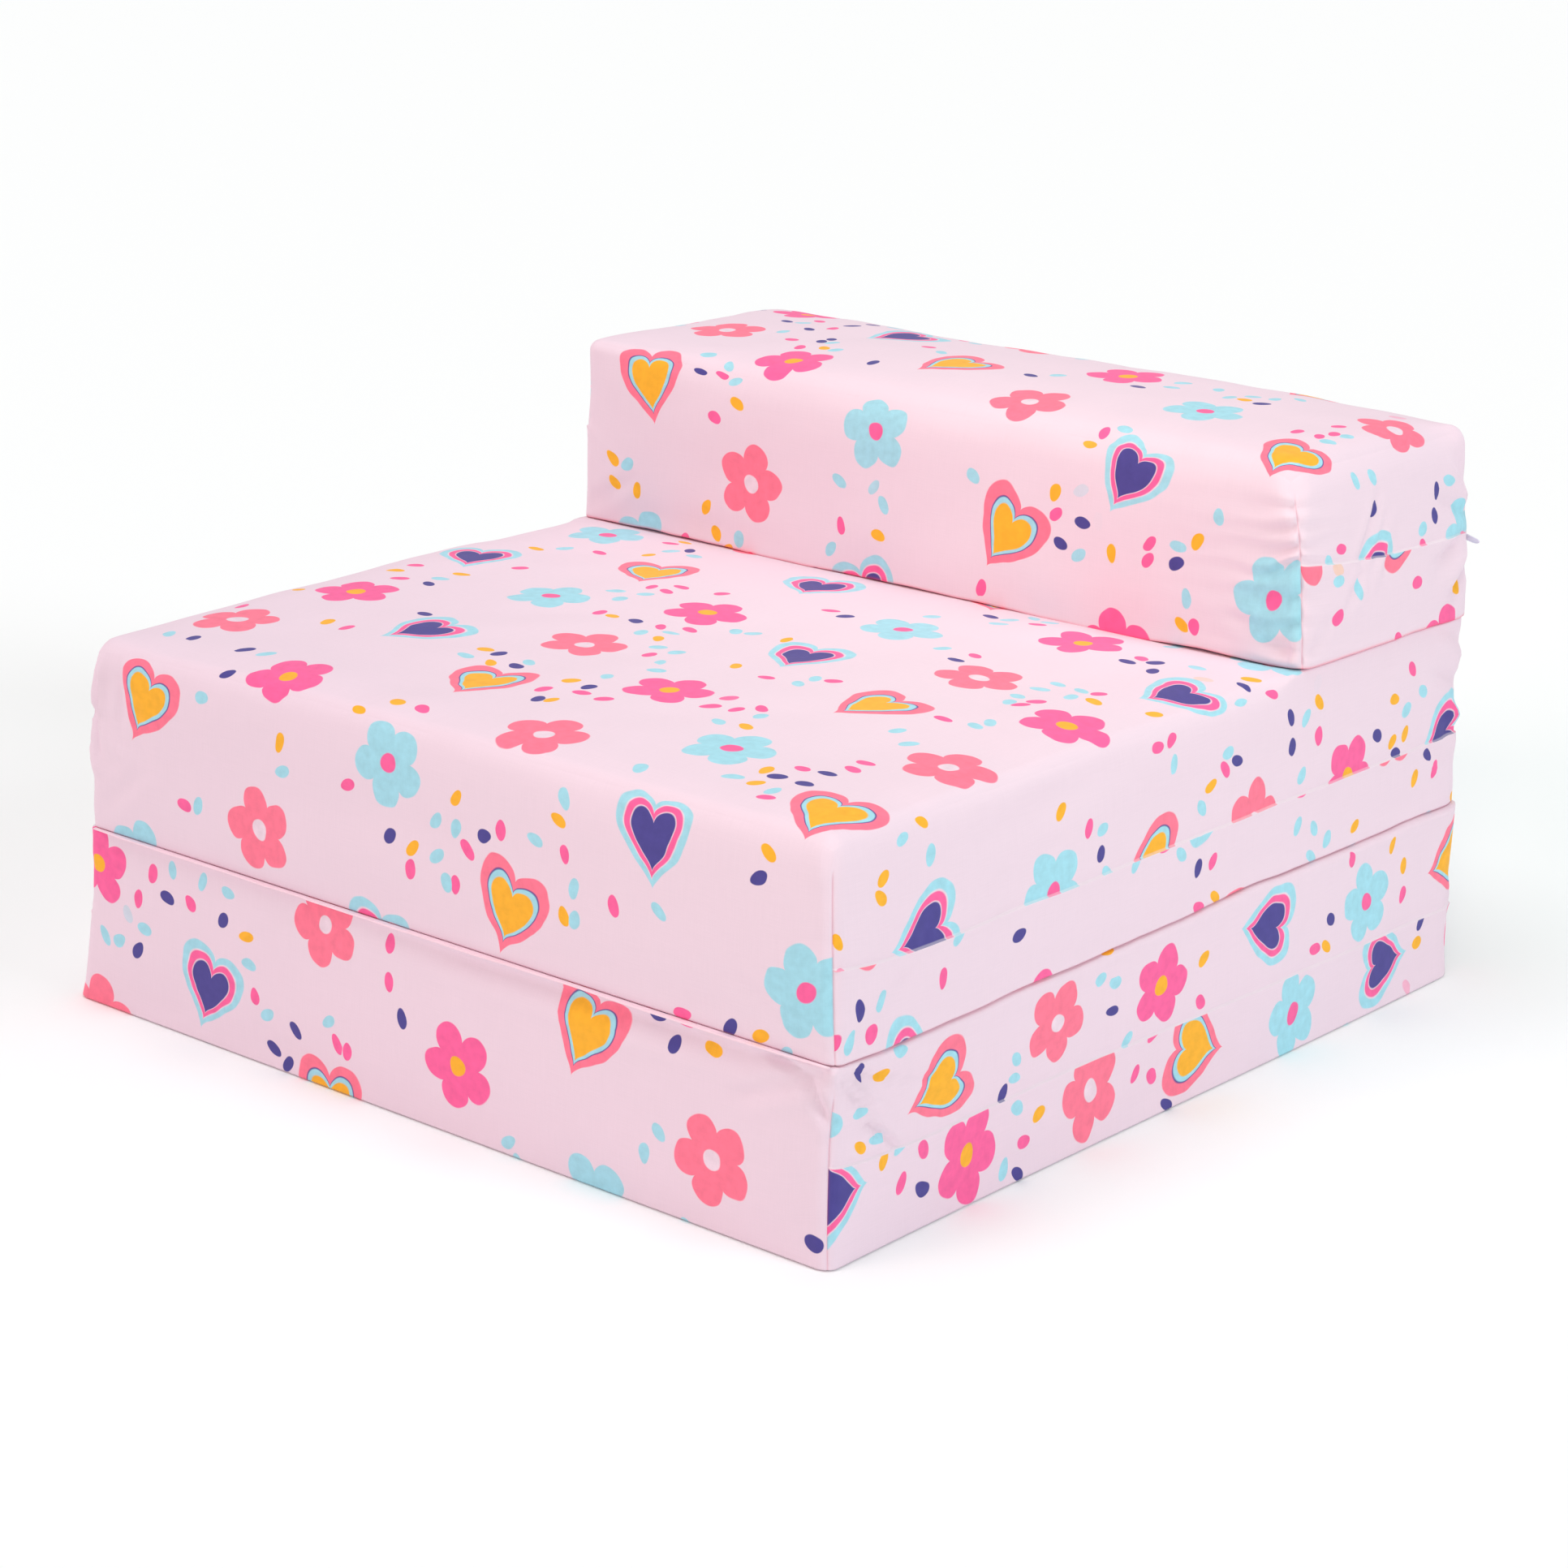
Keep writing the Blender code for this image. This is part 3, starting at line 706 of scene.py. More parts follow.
@dataclass(frozen=True)
class PrintedCloth(Finish):
    """Light woven cloth with the flower print."""

    rose: Colour = linear("F8649F")
    coral: Colour = linear("FA7A94")
    sky: Colour = linear("A2DAE8")
    navy: Colour = linear("4C4690")
    amber: Colour = linear("F8B42E")
    # Painted shade: dark saturated pink standing in for shade and reflected pink light in the creases
    # between blocks.
    painted_crease_colour: Colour = linear("F0506E")
    # Painted highlight: near-white, for the ledge of the side seams.
    seam_highlight_colour: Colour = linear("FFF8FC")
    mottle_scale: float = 160.0
    mottle: float = 0.30
    # How much of the painted seam highlight is mixed in.
    seam_highlight_share: float = 0.42
    ink_gloss: float = 0.08

    def apply(self, surface: Surface, wire: Wiring) -> None:
        """Lay the print on the weave, with painted shade and reflected pink in its creases, a darker line at
        its front corner seams and a painted highlight along its side seams.

        Args:
            surface: the material in the making.
            wire: its wiring.
        """
        place = wire.node("ShaderNodeUVMap", uv_map="print").outputs["UV"]
        inks = {
            name: (*colour, 1.0) for name, colour in (
                ("Ground", self.colour), ("Rose", self.rose), ("Coral", self.coral),
                ("Sky", self.sky), ("Navy", self.navy), ("Amber", self.amber),
            )
        }
        pattern = wire.group(surface.groups.print, Place=place, **inks)
        ink = pattern.outputs["Ink"]
        height, shade = surface.weave(place, 0.00055, 0.6)
        mottle = wire.minus(wire.grain(place, self.mottle_scale, 3.0), 0.5)
        light = surface.lit(wire.times(mottle, ink), self.mottle, surface.lit(shade, 0.05))
        colour = wire.vector("SCALE", pattern.outputs["Colour"], scale=light)
        # Painted shade: the crease colour mixed in where the 'crease' attribute marks the crease against the
        # block below, and the thin line at the front corner seams.
        colour = wire.mix(wire.attribute("crease"), colour, (*self.painted_crease_colour, 1.0))
        # Painted highlight: a near-white line mixed in along the ledge of each side seam.
        edge = wire.times(wire.attribute("seam_light"), self.seam_highlight_share)
        surface.give(
            Base_Color=wire.mix(edge, colour, (*self.seam_highlight_colour, 1.0)),
            Roughness=surface.lit(ink, -self.ink_gloss, self.roughness),
        )
        surface.soft_sheen(0.12)
        surface.bump(height, 0.10, 0.0002)


@dataclass(frozen=True)
class PlainCloth(Finish):
    """Plain dyed cloth, for the hinge strips and the thread."""

    thread: float = 0.0005
    slub: float = 0.4

    def apply(self, surface: Surface, wire: Wiring) -> None:
        """Weave the cloth.

        Args:
            surface: the material in the making.
            wire: its wiring.
        """
        height, shade = surface.weave(wire.object_place(), self.thread, self.slub)
        surface.paint(self.colour, surface.lit(shade, 0.12))
        surface.soft_sheen(0.10)
        surface.bump(height, 0.3, 0.0002)


@dataclass(frozen=True)
class HerringboneTape(Finish):
    """Zip tape, woven in a herringbone."""

    rib: float = 0.0016
    twill: float = 0.0007

    def apply(self, surface: Surface, wire: Wiring) -> None:
        """Weave the tape, with slanted ribs that turn back and forth.

        Args:
            surface: the material in the making.
            wire: its wiring.
        """
        place = wire.object_place()
        x, _, z = wire.split(place)
        slanted = wire.plus(x, wire.math("PINGPONG", z, self.rib))
        twill = wire.math("SINE", wire.times(slanted, math.tau / self.twill))
        _, shade = surface.weave(place, 0.0004, 0.3)
        surface.paint(self.colour, surface.lit(shade, 0.10, surface.lit(twill, 0.05)))
        surface.soft_sheen(0.08)
        surface.bump(twill, 0.4, 0.0002)


@dataclass(frozen=True)
class Foam(Finish):
    """Open-cell foam."""

    cell: float = 0.0012

    def apply(self, surface: Surface, wire: Wiring) -> None:
        """Open the foam's cells.

        Args:
            surface: the material in the making.
            wire: its wiring.
        """
        place = wire.object_place()
        cells = wire.node("ShaderNodeTexVoronoi", feature="F1")
        pores = wire.fill(cells, Vector=place, Scale=1.0 / self.cell).outputs["Distance"]
        mark = wire.group(surface.groups.wear, Place=place, Size=0.03).outputs["Mark"]
        surface.paint(self.colour, surface.lit(mark, -0.04, surface.lit(pores, -0.25, 1.05)))
        surface.bump(pores, 0.6, 0.0005)


@dataclass(frozen=True)
class Lacquer(Finish):
    """Moulded or lacquered zip hardware."""

    coat: float

    def apply(self, surface: Surface, wire: Wiring) -> None:
        """Coat the part and mark it with handling.

        Args:
            surface: the material in the making.
            wire: its wiring.
        """
        marks = wire.group(surface.groups.wear, Place=wire.object_place(), Size=0.003)
        mark = marks.outputs["Mark"]
        surface.paint(self.colour, surface.lit(mark, -0.06))
        surface.give(
            Roughness=surface.lit(mark, 0.18, self.roughness), Coat_Weight=self.coat, Coat_Roughness=0.15)
        surface.bump(marks.outputs["Height"], 0.12, 0.00015)


@dataclass(frozen=True)
class FloorPaint(Finish):
    """Matt floor of the studio."""

    def apply(self, surface: Surface, wire: Wiring) -> None:
        """Dull the floor's shine."""
        surface.give(Specular_IOR_Level=0.1)


class Finishes:
    """Every material of the sofa and its studio, made from its finish."""

    def __init__(self) -> None:
        """Build the materials."""
        groups = ClothGroups()
        self.printed = PrintedCloth("Printed cloth", linear("EAD6E2"), 0.86).material(groups)
        self.strip = PlainCloth("Strip cloth", linear("F6DAE5"), 0.88).material(groups)
        self.thread = PlainCloth("Sewing thread", linear("F6D6E2"), 0.7, 0.0003, 0.2).material(groups)
        self.foam = Foam("Foam", linear("F2EBD2"), 0.95).material(groups)
        self.tape = HerringboneTape("Zip tape", linear("F1E9F4"), 0.85).material(groups)
        self.teeth = Lacquer("Zip teeth", linear("EFEBF6"), 0.35, coat=0.1).material(groups)
        self.slider = Lacquer("Zip slider", linear("E6E0F4"), 0.28, coat=0.3).material(groups)
        self.floor = FloorPaint("Studio floor", (0.945, 0.985, 0.978), 0.9).material(groups)


def link_mesh(name: str, mesh: Mesh, material: Material) -> Object:
    """Put a mesh in the scene with its material.

    Args:
        name: name of the object.
        mesh: the mesh.
        material: its material.

    Returns:
        The new object.
    """
    obj = new_object(name, mesh)
    mesh.materials.clear()
    mesh.materials.append(material)
    mesh.shade_smooth()
    return obj


def mesh_from(name: str, points: Array, quads: Array) -> Mesh:
    """Make a mesh of four-sided faces.

    Args:
        name: name of the mesh.
        points: a row of X, Y and Z for each vertex.
        quads: a row of four vertex numbers for each face.

    Returns:
        The new mesh.
    """
    mesh = bpy.data.meshes.new(name)
    mesh.vertices.add(len(points))
    mesh.vertices.foreach_set("co", points.astype(np.float32).ravel())
    mesh.loops.add(quads.size)
    mesh.loops.foreach_set("vertex_index", quads.astype(np.int32).ravel())
    mesh.polygons.add(len(quads))
    mesh.polygons.foreach_set("loop_start", np.arange(0, quads.size, 4, dtype=np.int32))
    mesh.update(calc_edges=True)
    mesh.validate()
    return mesh


class Lattice:
    """Surface of a box, cut by lines across X, Y and Z."""

    ENDS = {
        Side.LEFT: (0, 0), Side.RIGHT: (0, -1), Side.FRONT: (1, 0),
        Side.BACK: (1, -1), Side.UNDERSIDE: (2, 0), Side.TOP: (2, -1),
    }

    def __init__(self, lines: tuple[Array, Array, Array]) -> None:
        """Number the surface points and list the faces.

        Args:
            lines: places of the lines across X, Y and Z, lowest first.
        """
        self.lines = lines
        counts = [len(part) for part in lines]
        shell = np.zeros(counts, bool)
        for axis in range(3):
            ends = [slice(None)] * 3
            ends[axis] = [0, -1]
            shell[tuple(ends)] = True
        self.number = np.full(counts, -1, int)
        self.number[shell] = np.arange(shell.sum())
        self.at = np.argwhere(shell)
        self.points = np.stack([lines[axis][self.at[:, axis]] for axis in range(3)], 1)
        quads, sides = [], []
        for side, (axis, end) in self.ENDS.items():
            grid = np.take(self.number, end, axis=axis)
            ring = np.stack([grid[:-1, :-1], grid[1:, :-1], grid[1:, 1:], grid[:-1, 1:]], -1)
            faces = ring.reshape(-1, 4)
            if (end == 0) != (axis == 1):
                faces = faces[:, ::-1]
            quads.append(faces)
            sides.append(np.full(len(faces), side.value))
        self.quads = np.concatenate(quads)
        self.sides = np.concatenate(sides)

    def on(self, side: Side) -> Array:
        """Mask of the points on a side, its edges among them."""
        axis, end = self.ENDS[side]
        last = 0 if end == 0 else len(self.lines[axis]) - 1
        return self.at[:, axis] == last

    def normals(self, points: Array) -> Array:
        """Outward direction at each point.

        Args:
            points: where the lattice's points are now.

        Returns:
            A row of length 1 for each point.
        """
        corners = points[self.quads]
        faces = np.cross(corners[:, 2] - corners[:, 0], corners[:, 3] - corners[:, 1])
        total = np.zeros_like(points)
        for corner in range(4):
            np.add.at(total, self.quads[:, corner], faces)
        return total / np.maximum(np.linalg.norm(total, axis=1, keepdims=True), 1e-12)


def spread_lines(low: float, high: float, pitch: float, ends: Array, extra: Sequence[float],
                 room: float = 0.0009) -> Array:
    """Lines across a span, close together near its ends and at places of note.

    Args:
        low: start of the span.
        high: end of the span.
        pitch: widest space between lines.
        ends: distances of the end lines from each end.
        extra: places of note, which need a line.
        room: how near to a place of note no other line is laid.

    Returns:
        The places of the lines, lowest first.
    """
    kept = sorted(set(np.round(extra, 6)))
    start, stop = low + ends[-1], high - ends[-1]
    count = max(int(math.ceil((stop - start) / pitch)), 1)
    plain = np.concatenate([low + ends, high - ends, np.linspace(start, stop, count + 1)])
    gaps = [min(abs(at - note) for note in kept) for at in plain]
    plain = [at for at, gap in zip(plain, gaps) if gap > room or at in (low, high)]
    return np.array(sorted(set(np.round(kept + plain, 6))))


def knot_weights(knots: Array, places: Array) -> Array:
    """Weights that carry values at knots to other places on a smooth curve.

    Args:
        knots: places of the known values, evenly spaced.
        places: where values are wanted.

    Returns:
        A matrix with a row for each place and a column for each knot.
    """
    last = len(knots) - 1
    share = (places - knots[0]) / (knots[-1] - knots[0]) * last
    cell = np.clip(share.astype(int), 0, last - 1)
    t = share - cell
    parts = (
        -0.5 * t + t * t - 0.5 * t ** 3, 1 - 2.5 * t * t + 1.5 * t ** 3,
        0.5 * t + 2 * t * t - 1.5 * t ** 3, -0.5 * t * t + 0.5 * t ** 3,
    )
    weights = np.zeros((len(places), len(knots)))
    for step, part in zip((-1, 0, 1, 2), parts):
        np.add.at(weights, (np.arange(len(places)), np.clip(cell + step, 0, last)), part)
    return weights


@dataclass(frozen=True)
class Fold:
    """A soft fold from one place to another: a ridge, or a hollow below zero."""

    start: Point
    end: Point
    width: float
    height: float

    TAPER = 0.75
    SIDE_DIP = 0.4

    def lift(self, places: Array) -> Array:
        """How far the fold lifts each place.

        Args:
            places: places on the plain box of the block.

        Returns:
            A height for each place.
        """
        start, end = np.array(self.start), np.array(self.end)
        run = end - start
        length = max(float(run @ run), 1e-9)
        share = np.clip((places - start) @ run / length, 0.0, 1.0)
        gap = np.linalg.norm(places - start - share[:, None] * run, axis=1) / self.width
        taper = 1.0 - np.abs(2 * share - 1) ** 3 * self.TAPER if length > 1e-6 else 1.0
        return self.height * taper * (bell(gap) - self.SIDE_DIP * bell(gap - 2.0))


def right_folds(*rows: tuple[float, ...]) -> tuple[Fold, ...]:
    """Folds on the right end: Y and Z of start and end, then width and height."""
    return tuple(
        Fold((HALF_WIDTH, y, z), (HALF_WIDTH, end_y, end_z), width, height)
        for y, z, end_y, end_z, width, height in rows
    )


def front_folds(front: float, *rows: tuple[float, ...]) -> tuple[Fold, ...]:
    """Folds on the front, at that Y: X and Z of start and end, then width and height."""
    return tuple(
        Fold((x, front, z), (end_x, front, end_z), width, height)
        for x, z, end_x, end_z, width, height in rows
    )


@dataclass(frozen=True)
class SeamPuckers:
    """Short wrinkles that a front corner seam draws into the cloth beside it."""

    strength: float = 0.0003
    reach: float = 0.014
    pitch: float = 0.012
    seed: float = 1.7


@dataclass(frozen=True)
class Lean:
    """How far one end of a block stands out at its foot and at its top."""

    foot: float = 0.0
    top: float = 0.0


SETTLING_FRONT, SETTLING_REAR, SETTLING_END = 0.045, 0.060, 0.020
SETTLING_WAVES = ((7.0, 2.5, 0.0026), (19.0, 7.5, 0.0011), (48.0, 1.5, 0.0006))


def settling(x: Array, y: Array) -> Array:
    """Unevenness of a crease where two soft blocks lie on each other.

    Args:
        x: places across the sofa.
        y: places from front to rear.

    Returns:
        A rise for each place, none at the hinged front edge and at the zips in the rear.
    """
    rise = sum(lumps(x * scale, y * scale, seed) * height for scale, seed, height in SETTLING_WAVES)
    rear = ramp(REAR - SETTLING_REAR, REAR - SETTLING_END, y)
    return rise * ramp(-REAR, SETTLING_FRONT - REAR, y) * (1 - rear)


@dataclass(frozen=True)
class Block:
    """One foam block in its cover: where it stands and how it is shaped.

    Attributes:
        name: name of its body.
        depth: size from front to rear.
        underside: level of its underside above the floor.
        height: size from underside to top, without the crown.
        crown: how much the bare part of the top stands higher in the middle.
        bare_depth: how much of the top, from the front, has no block on it.
        seam_share: level of the side seam, as a share of the height.
        seam_rise: how much higher the seam is at the front than at the rear.
        print_shift: where the print begins on its cloth.
        top_radius: radius of the bare top edges.
        firm_left_share: how much smaller that radius is at the left end, as a share.
        ends: lean of the left and the right end.
        soft_corners: what the left and the right front corner add to the radius.
        left_sag: how much lower the top is at the front left.
        soft_side: what the right edge under the next block adds to its radius.
        rear_spread: how much more the right end stands out at the rear.
        right_drop: how much lower the top is at the rear right.
        folds: the folds, placed one by one.
        puckers: puckers of the left and the right front corner seam.
    """

    name: str
    depth: float
    underside: float
    height: float
    crown: float
    bare_depth: float
    seam_share: float
    seam_rise: float
    print_shift: tuple[float, float]
    top_radius: float
    firm_left_share: float = 0.0
    ends: tuple[Lean, Lean] = (Lean(), Lean())
    soft_corners: tuple[float, float] = (0.0, 0.006)
    left_sag: float = 0.0
    soft_side: float = 0.0
    rear_spread: float = 0.0
    right_drop: float = 0.0
    folds: tuple[Fold, ...] = ()
    puckers: tuple[SeamPuckers, SeamPuckers] = (SeamPuckers(), SeamPuckers(seed=5.1))

    @property
    def centre(self) -> float:
        """Y of the block's middle: every block is flush at the rear."""
        return REAR - self.depth / 2

    @property
    def seam(self) -> float:
        """Height of the side seams and the zip above the underside."""
        return self.height * self.seam_share

    @property
    def is_top(self) -> bool:
        """Whether no block lies on it."""
        return self.bare_depth >= self.depth


@dataclass
class Cover:
    """The printed cloth cover of one block, shaped over its foam."""

    block: Block
    pressed_radius: float = 0.0009
    corner_radius: float = 0.0085
    soft_corner_reach: float = 0.045
    press_length: float = 0.035
    press_edge: tuple[float, float] = (-0.012, 0.006)
    soft_side_front: tuple[float, float] = (0.010, 0.060)
    soft_side_rear: tuple[float, float] = (0.004, 0.050)
    rear_sharpness: float = 0.45
    foot_sharpness: float = 0.8
    side_share: float = 0.72
    free_reach: float = 0.016
    fold_free_reach: float = 0.005
    end_swell: float = 0.0025
    face_swell: float = 0.002
    pitch: float = 0.0072
    rise_pitch: float = 0.0031
    fold_pitch: float = 0.0026
    fold_reach: float = 0.100
    slit_half_length: float = 0.2905
    pocket_depth: float = 0.0046
    zip_flat_height: float = 0.022
    zip_ease_reach: tuple[float, float] = (0.020, 0.002)
    zip_ease_share: float = 0.35
    # Painted shade in the crease against the block below, and a darker line along the front corner seams.
    crease_reach: float = 0.0006
    top_crease_factor: float = 2.6
    crease_rim: float = 0.0009
    painted_crease_share: float = 0.70
    corner_line: float = 0.0008
    corner_tint: float = 0.22
    rim_rise_width: float = 0.022
    rim_rise_height: float = 0.014
    seam_width: float = 0.0009
    seam_depth: float = 0.0007
    seam_top_share: float = 0.86
    seam_end: float = 0.004
    lip_above: tuple[float, float] = (-0.6, 0.004)
    lip_below: tuple[float, float] = (1.4, 0.006)
    relief_foot: float = 0.006
    pucker_gap: float = 0.0025
    ripple_height: float = 0.0009
    ripple_reach: float = 0.010
    ripple_gap: float = 0.002
    ripple_scale: float = 95.0
    bow_height: float = 0.0025
    bow_length: float = 0.032
    dip_depth: float = 0.0015
    dip_place: float = 0.09
    dip_length: float = 0.05
    bow_reach: float = 0.030
    bow_room: float = 0.020
    bow_width: float = 0.018
    # Place and width of the painted highlight along the side seams.
    seam_highlight_level: float = 0.0003
    seam_highlight_width: float = 0.0005
    foam_pitch: float = 0.012
    foam_room: float = 0.0046
    foam_rear_room: float = 0.0004
    sim_pitch: float = 0.0115
    sim_frames: int = 20
    sim_backing: float = 0.30
    sim_ease: float = 0.0015
    settled: tuple[Lattice, Array] | None = None

    SIM_SETTINGS = {
        "quality": 6, "mass": 0.25, "tension_stiffness": 22.0, "compression_stiffness": 22.0,
        "shear_stiffness": 12.0, "bending_stiffness": 0.8, "use_pressure": True,
        "uniform_pressure_force": 14.0,
    }
    UNEVENNESS = ((8.0, 1, 0.0019), (21.0, 2, 0.0013), (52.0, 3, 0.00022))
    END_LINES = np.array([
        0.0, 0.0007, 0.0016, 0.0028, 0.0045, 0.0068, 0.0098, 0.0135, 0.018, 0.0235, 0.0300,
    ])
    SEAM_LINES = (
        0.0, 0.0006, 0.0013, 0.0022, 0.0036, 0.0054, 0.0072, 0.0076, 0.0080, 0.0086, 0.0100, 0.0125,
    )
    SLIT_LINES = (-0.0010, -0.0003, 0.0002, 0.0007, 0.0016)
    POCKET_LIPS = ((-0.0004, 0.0, 0.0008, 0.0022), (1.0, 0.42, 0.08, 0.0))
    POCKET_ENDS = ((-0.0010, -0.0003, 0.0007, 0.0016), (1.0, 0.5, 0.08, 0.0))

    def lines(self) -> tuple[Array, Array, Array]:
        """Lines of the fine lattice.

        Returns:
            The places of the lines across X, Y and Z.
        """
        block = self.block
        slit = [sign * (self.slit_half_length + step) for sign in (-1, 1) for step in self.SLIT_LINES]
        seam = [block.seam + sign * step for sign in (-1, 1) for step in self.SEAM_LINES]
        short = self.END_LINES[:-1]
        near = np.arange(self.END_LINES[-1] + self.fold_pitch, self.fold_reach, self.fold_pitch)
        corners = [sign * (HALF_WIDTH - step) for sign in (-1, 1) for step in near]
        front = [step - block.depth / 2 for step in near]
        return (
            spread_lines(-HALF_WIDTH, HALF_WIDTH, self.pitch, self.END_LINES, slit + corners),
            spread_lines(-block.depth / 2, block.depth / 2, self.pitch, self.END_LINES, front),
            spread_lines(0.0, block.height, self.rise_pitch, short, seam),
        )

    def edge_radius(self, box: Array) -> Array:
        """Radius of the top edge.

        Args:
            box: places on the plain box.

        Returns:
            A radius for each place: wide where the top is bare, less so at the left.
        """
        block = self.block
        half = block.depth / 2
        covered = block.bare_depth - half
        pressed = ramp(covered - self.press_length, covered, box[:, 1])
        if block.is_top:
            pressed = pressed * self.rear_sharpness
        firm = ramp(HALF_WIDTH * 0.5, HALF_WIDTH, -box[:, 0]) * block.firm_left_share
        bare = block.top_radius * (1 - firm)
        for sign, extra in zip((-1, 1), block.soft_corners):
            gap = np.hypot(HALF_WIDTH - sign * box[:, 0], box[:, 1] + half)
            bare = bare + extra * bell(gap, self.soft_corner_reach)
        right = ramp(HALF_WIDTH * 0.6, HALF_WIDTH * 0.95, box[:, 0])
        away = ramp(*self.soft_side_front, half + box[:, 1]) * ramp(*self.soft_side_rear, half - box[:, 1])
        tight = self.pressed_radius + block.soft_side * right * away
        return bare + (tight - bare) * pressed

    def rounded(self, box: Array) -> Array:
        """Round the edges of the plain box.

        Args:
            box: places on the plain box.

        Returns:
            The same places on the rounded block.
        """
        block = self.block
        half = np.array([HALF_WIDTH, block.depth / 2])
        top = self.edge_radius(box)
        rise = ramp(block.height * 0.62, block.height - top * 0.4, box[:, 2])
        wide = np.maximum(top * self.side_share, self.corner_radius)
        side = self.corner_radius + (wide - self.corner_radius) * rise
        foot = self.pressed_radius * (self.foot_sharpness if block.underside == 0 else 1.0)
        upright = np.where(box[:, 2] > block.height / 2, top, foot)
        core = box.copy()
        for axis in (0, 1):
            core[:, axis] = np.clip(box[:, axis], side - half[axis], half[axis] - side)
        core[:, 2] = np.clip(box[:, 2], foot, block.height - top)
        radii = np.stack([side, side, upright], 1)
        away = (box - core) / radii
        length = np.linalg.norm(away, axis=1, keepdims=True)
        return core + np.where(length > 1e-9, away / np.maximum(length, 1e-9), 0.0) * radii

    def free_share(self, box: Array, reach: float) -> Array:
        """How free the cloth is of the pieces that press on it.

        Args:
            box: places on the plain box.
            reach: how far from a pressed edge the cloth is quite free.

        Returns:
            Shares between 0, where it is pressed, and 1.
        """
        block = self.block
        low = ramp(0.0, reach, box[:, 2])
        high = ramp(0.0, reach, block.height - box[:, 2])
        covered = ramp(*self.press_edge, box[:, 1] - (block.bare_depth - block.depth / 2))
        return low * (1 - covered * (1 - high))

    def crowned(self, box: Array, soft: Array) -> Array:
        """Raise the bare part of the top into a low crown.

        Args:
            box: places on the plain box.
            soft: the same places on the rounded block.

        Returns:
            The places with the crown.
        """
        block = self.block
        if block.crown <= 0:
            return soft
        middle = (block.bare_depth - block.depth) / 2
        off = np.clip((box[:, 1] - middle) / (block.bare_depth / 2), -1.0, 1.0)
        across = 1 - np.abs(box[:, 0] / HALF_WIDTH) ** 3
        high = ramp(block.height * 0.6, block.height, box[:, 2])
        half = block.depth / 2
        drop = ramp(HALF_WIDTH * 0.55, HALF_WIDTH, box[:, 0]) * ramp(middle, half, box[:, 1])
        sag = ramp(HALF_WIDTH * 0.3, HALF_WIDTH, -box[:, 0]) * (1 - ramp(-half, 0.0, box[:, 1]))
        rise = block.crown * across * (1 - off * off) - block.right_drop * drop - block.left_sag * sag
        raised = soft.copy()
        raised[:, 2] += rise * high
        return raised

    def even_lattice(self, pitch: float) -> Lattice:
        """Lattice of the block with even lines.

        Args:
            pitch: space between the lines, about.

        Returns:
            The lattice.
        """
        block = self.block
        lows = (-HALF_WIDTH, -block.depth / 2, 0.0)
        spans = (WIDTH, block.depth, block.height)
        return Lattice(tuple(
            np.linspace(low, low + span, int(round(span / pitch)) + 1) for low, span in zip(lows, spans)
        ))

    def simulated(self) -> tuple[Lattice, Array]:
        """Let the cloth fill out over the foam, by cloth simulation.

        Returns:
            An even lattice, and the displacement of each of its points.
        """
        name = self.block.name + "_sim"
        coarse = self.even_lattice(self.sim_pitch)
        box = coarse.points
        start = self.crowned(box, self.rounded(box))
        start -= coarse.normals(start) * self.sim_ease
        obj = new_object(name, mesh_from(name, start, coarse.quads))
        held = obj.vertex_groups.new(name="held")
        for number, free in enumerate(self.free_share(box, self.free_reach)):
            held.add([number], float(max(1 - free, self.sim_backing)), "REPLACE")
        cloth = obj.modifiers.new("Cloth", "CLOTH")
        for title, value in self.SIM_SETTINGS.items():
            setattr(cloth.settings, title, value)
        cloth.settings.vertex_group_mass = held.name
        cloth.settings.effector_weights.gravity = 0.0
        cloth.collision_settings.use_collision = False
        cloth.point_cache.frame_start = 1
        cloth.point_cache.frame_end = self.sim_frames
        scene = bpy.context.scene
        for number in range(1, self.sim_frames + 1):
            scene.frame_set(number)
        settled = obj.evaluated_get(bpy.context.evaluated_depsgraph_get())
        places = np.zeros(len(box) * 3, np.float32)
        settled.data.vertices.foreach_get("co", places)
        scene.frame_set(1)
        moved = places.reshape(-1, 3).astype(float) - start
        bpy.data.objects.remove(obj, do_unlink=True)
        along = (moved * coarse.normals(start)).sum(axis=1) * 1000
        LOG.info("%s cover fills out by %.1f to %.1f mm", self.block.name, along.min(), along.max())
        return coarse, moved

    def filled(self, lattice: Lattice) -> Array:
        """How far the filled cover, and the foam in it, move from the plain rounded shape.

        Args:
            lattice: a lattice of the block.

        Returns:
            A displacement for each of its points.
        """
        if self.settled is None:
            self.settled = self.simulated()
        return self.carried(self.settled[0], lattice, self.settled[1])

    @staticmethod
    def carried(coarse: Lattice, fine: Lattice, moved: Array) -> Array:
        """Carry a displacement from a coarse lattice to a fine one.

        Args:
            coarse: lattice of the simulation.
            fine: lattice of the cover.
            moved: a displacement for each coarse point.

        Returns:
            A displacement for each fine point.
        """
        weights = [knot_weights(knots, places) for knots, places in zip(coarse.lines, fine.lines)]
        result = np.zeros_like(fine.points)
        for axis in range(3):
            first, second = [other for other in range(3) if other != axis]
            for end in (0, -1):
                known = moved[np.take(coarse.number, end, axis=axis)]
                spread = np.einsum("ia,abc->ibc", weights[first], known)
                spread = np.einsum("jb,ibc->ijc", weights[second], spread)
                numbers = np.take(fine.number, end, axis=axis)
                result[numbers.ravel()] = spread.reshape(-1, 3)
        return result

    def undulation(self, box: Array) -> Array:
        """Broad unevenness of foam and cloth.

        Args:
            box: places on the plain box.

        Returns:
            A height for each place.
        """
        seed = Vector((self.block.underside * 31, self.block.depth * 17, 4.2))
        return np.array([
            sum(noise.noise(Vector(place) * scale + seed * turn) * height
                for scale, turn, height in self.UNEVENNESS)
            for place in box
        ])

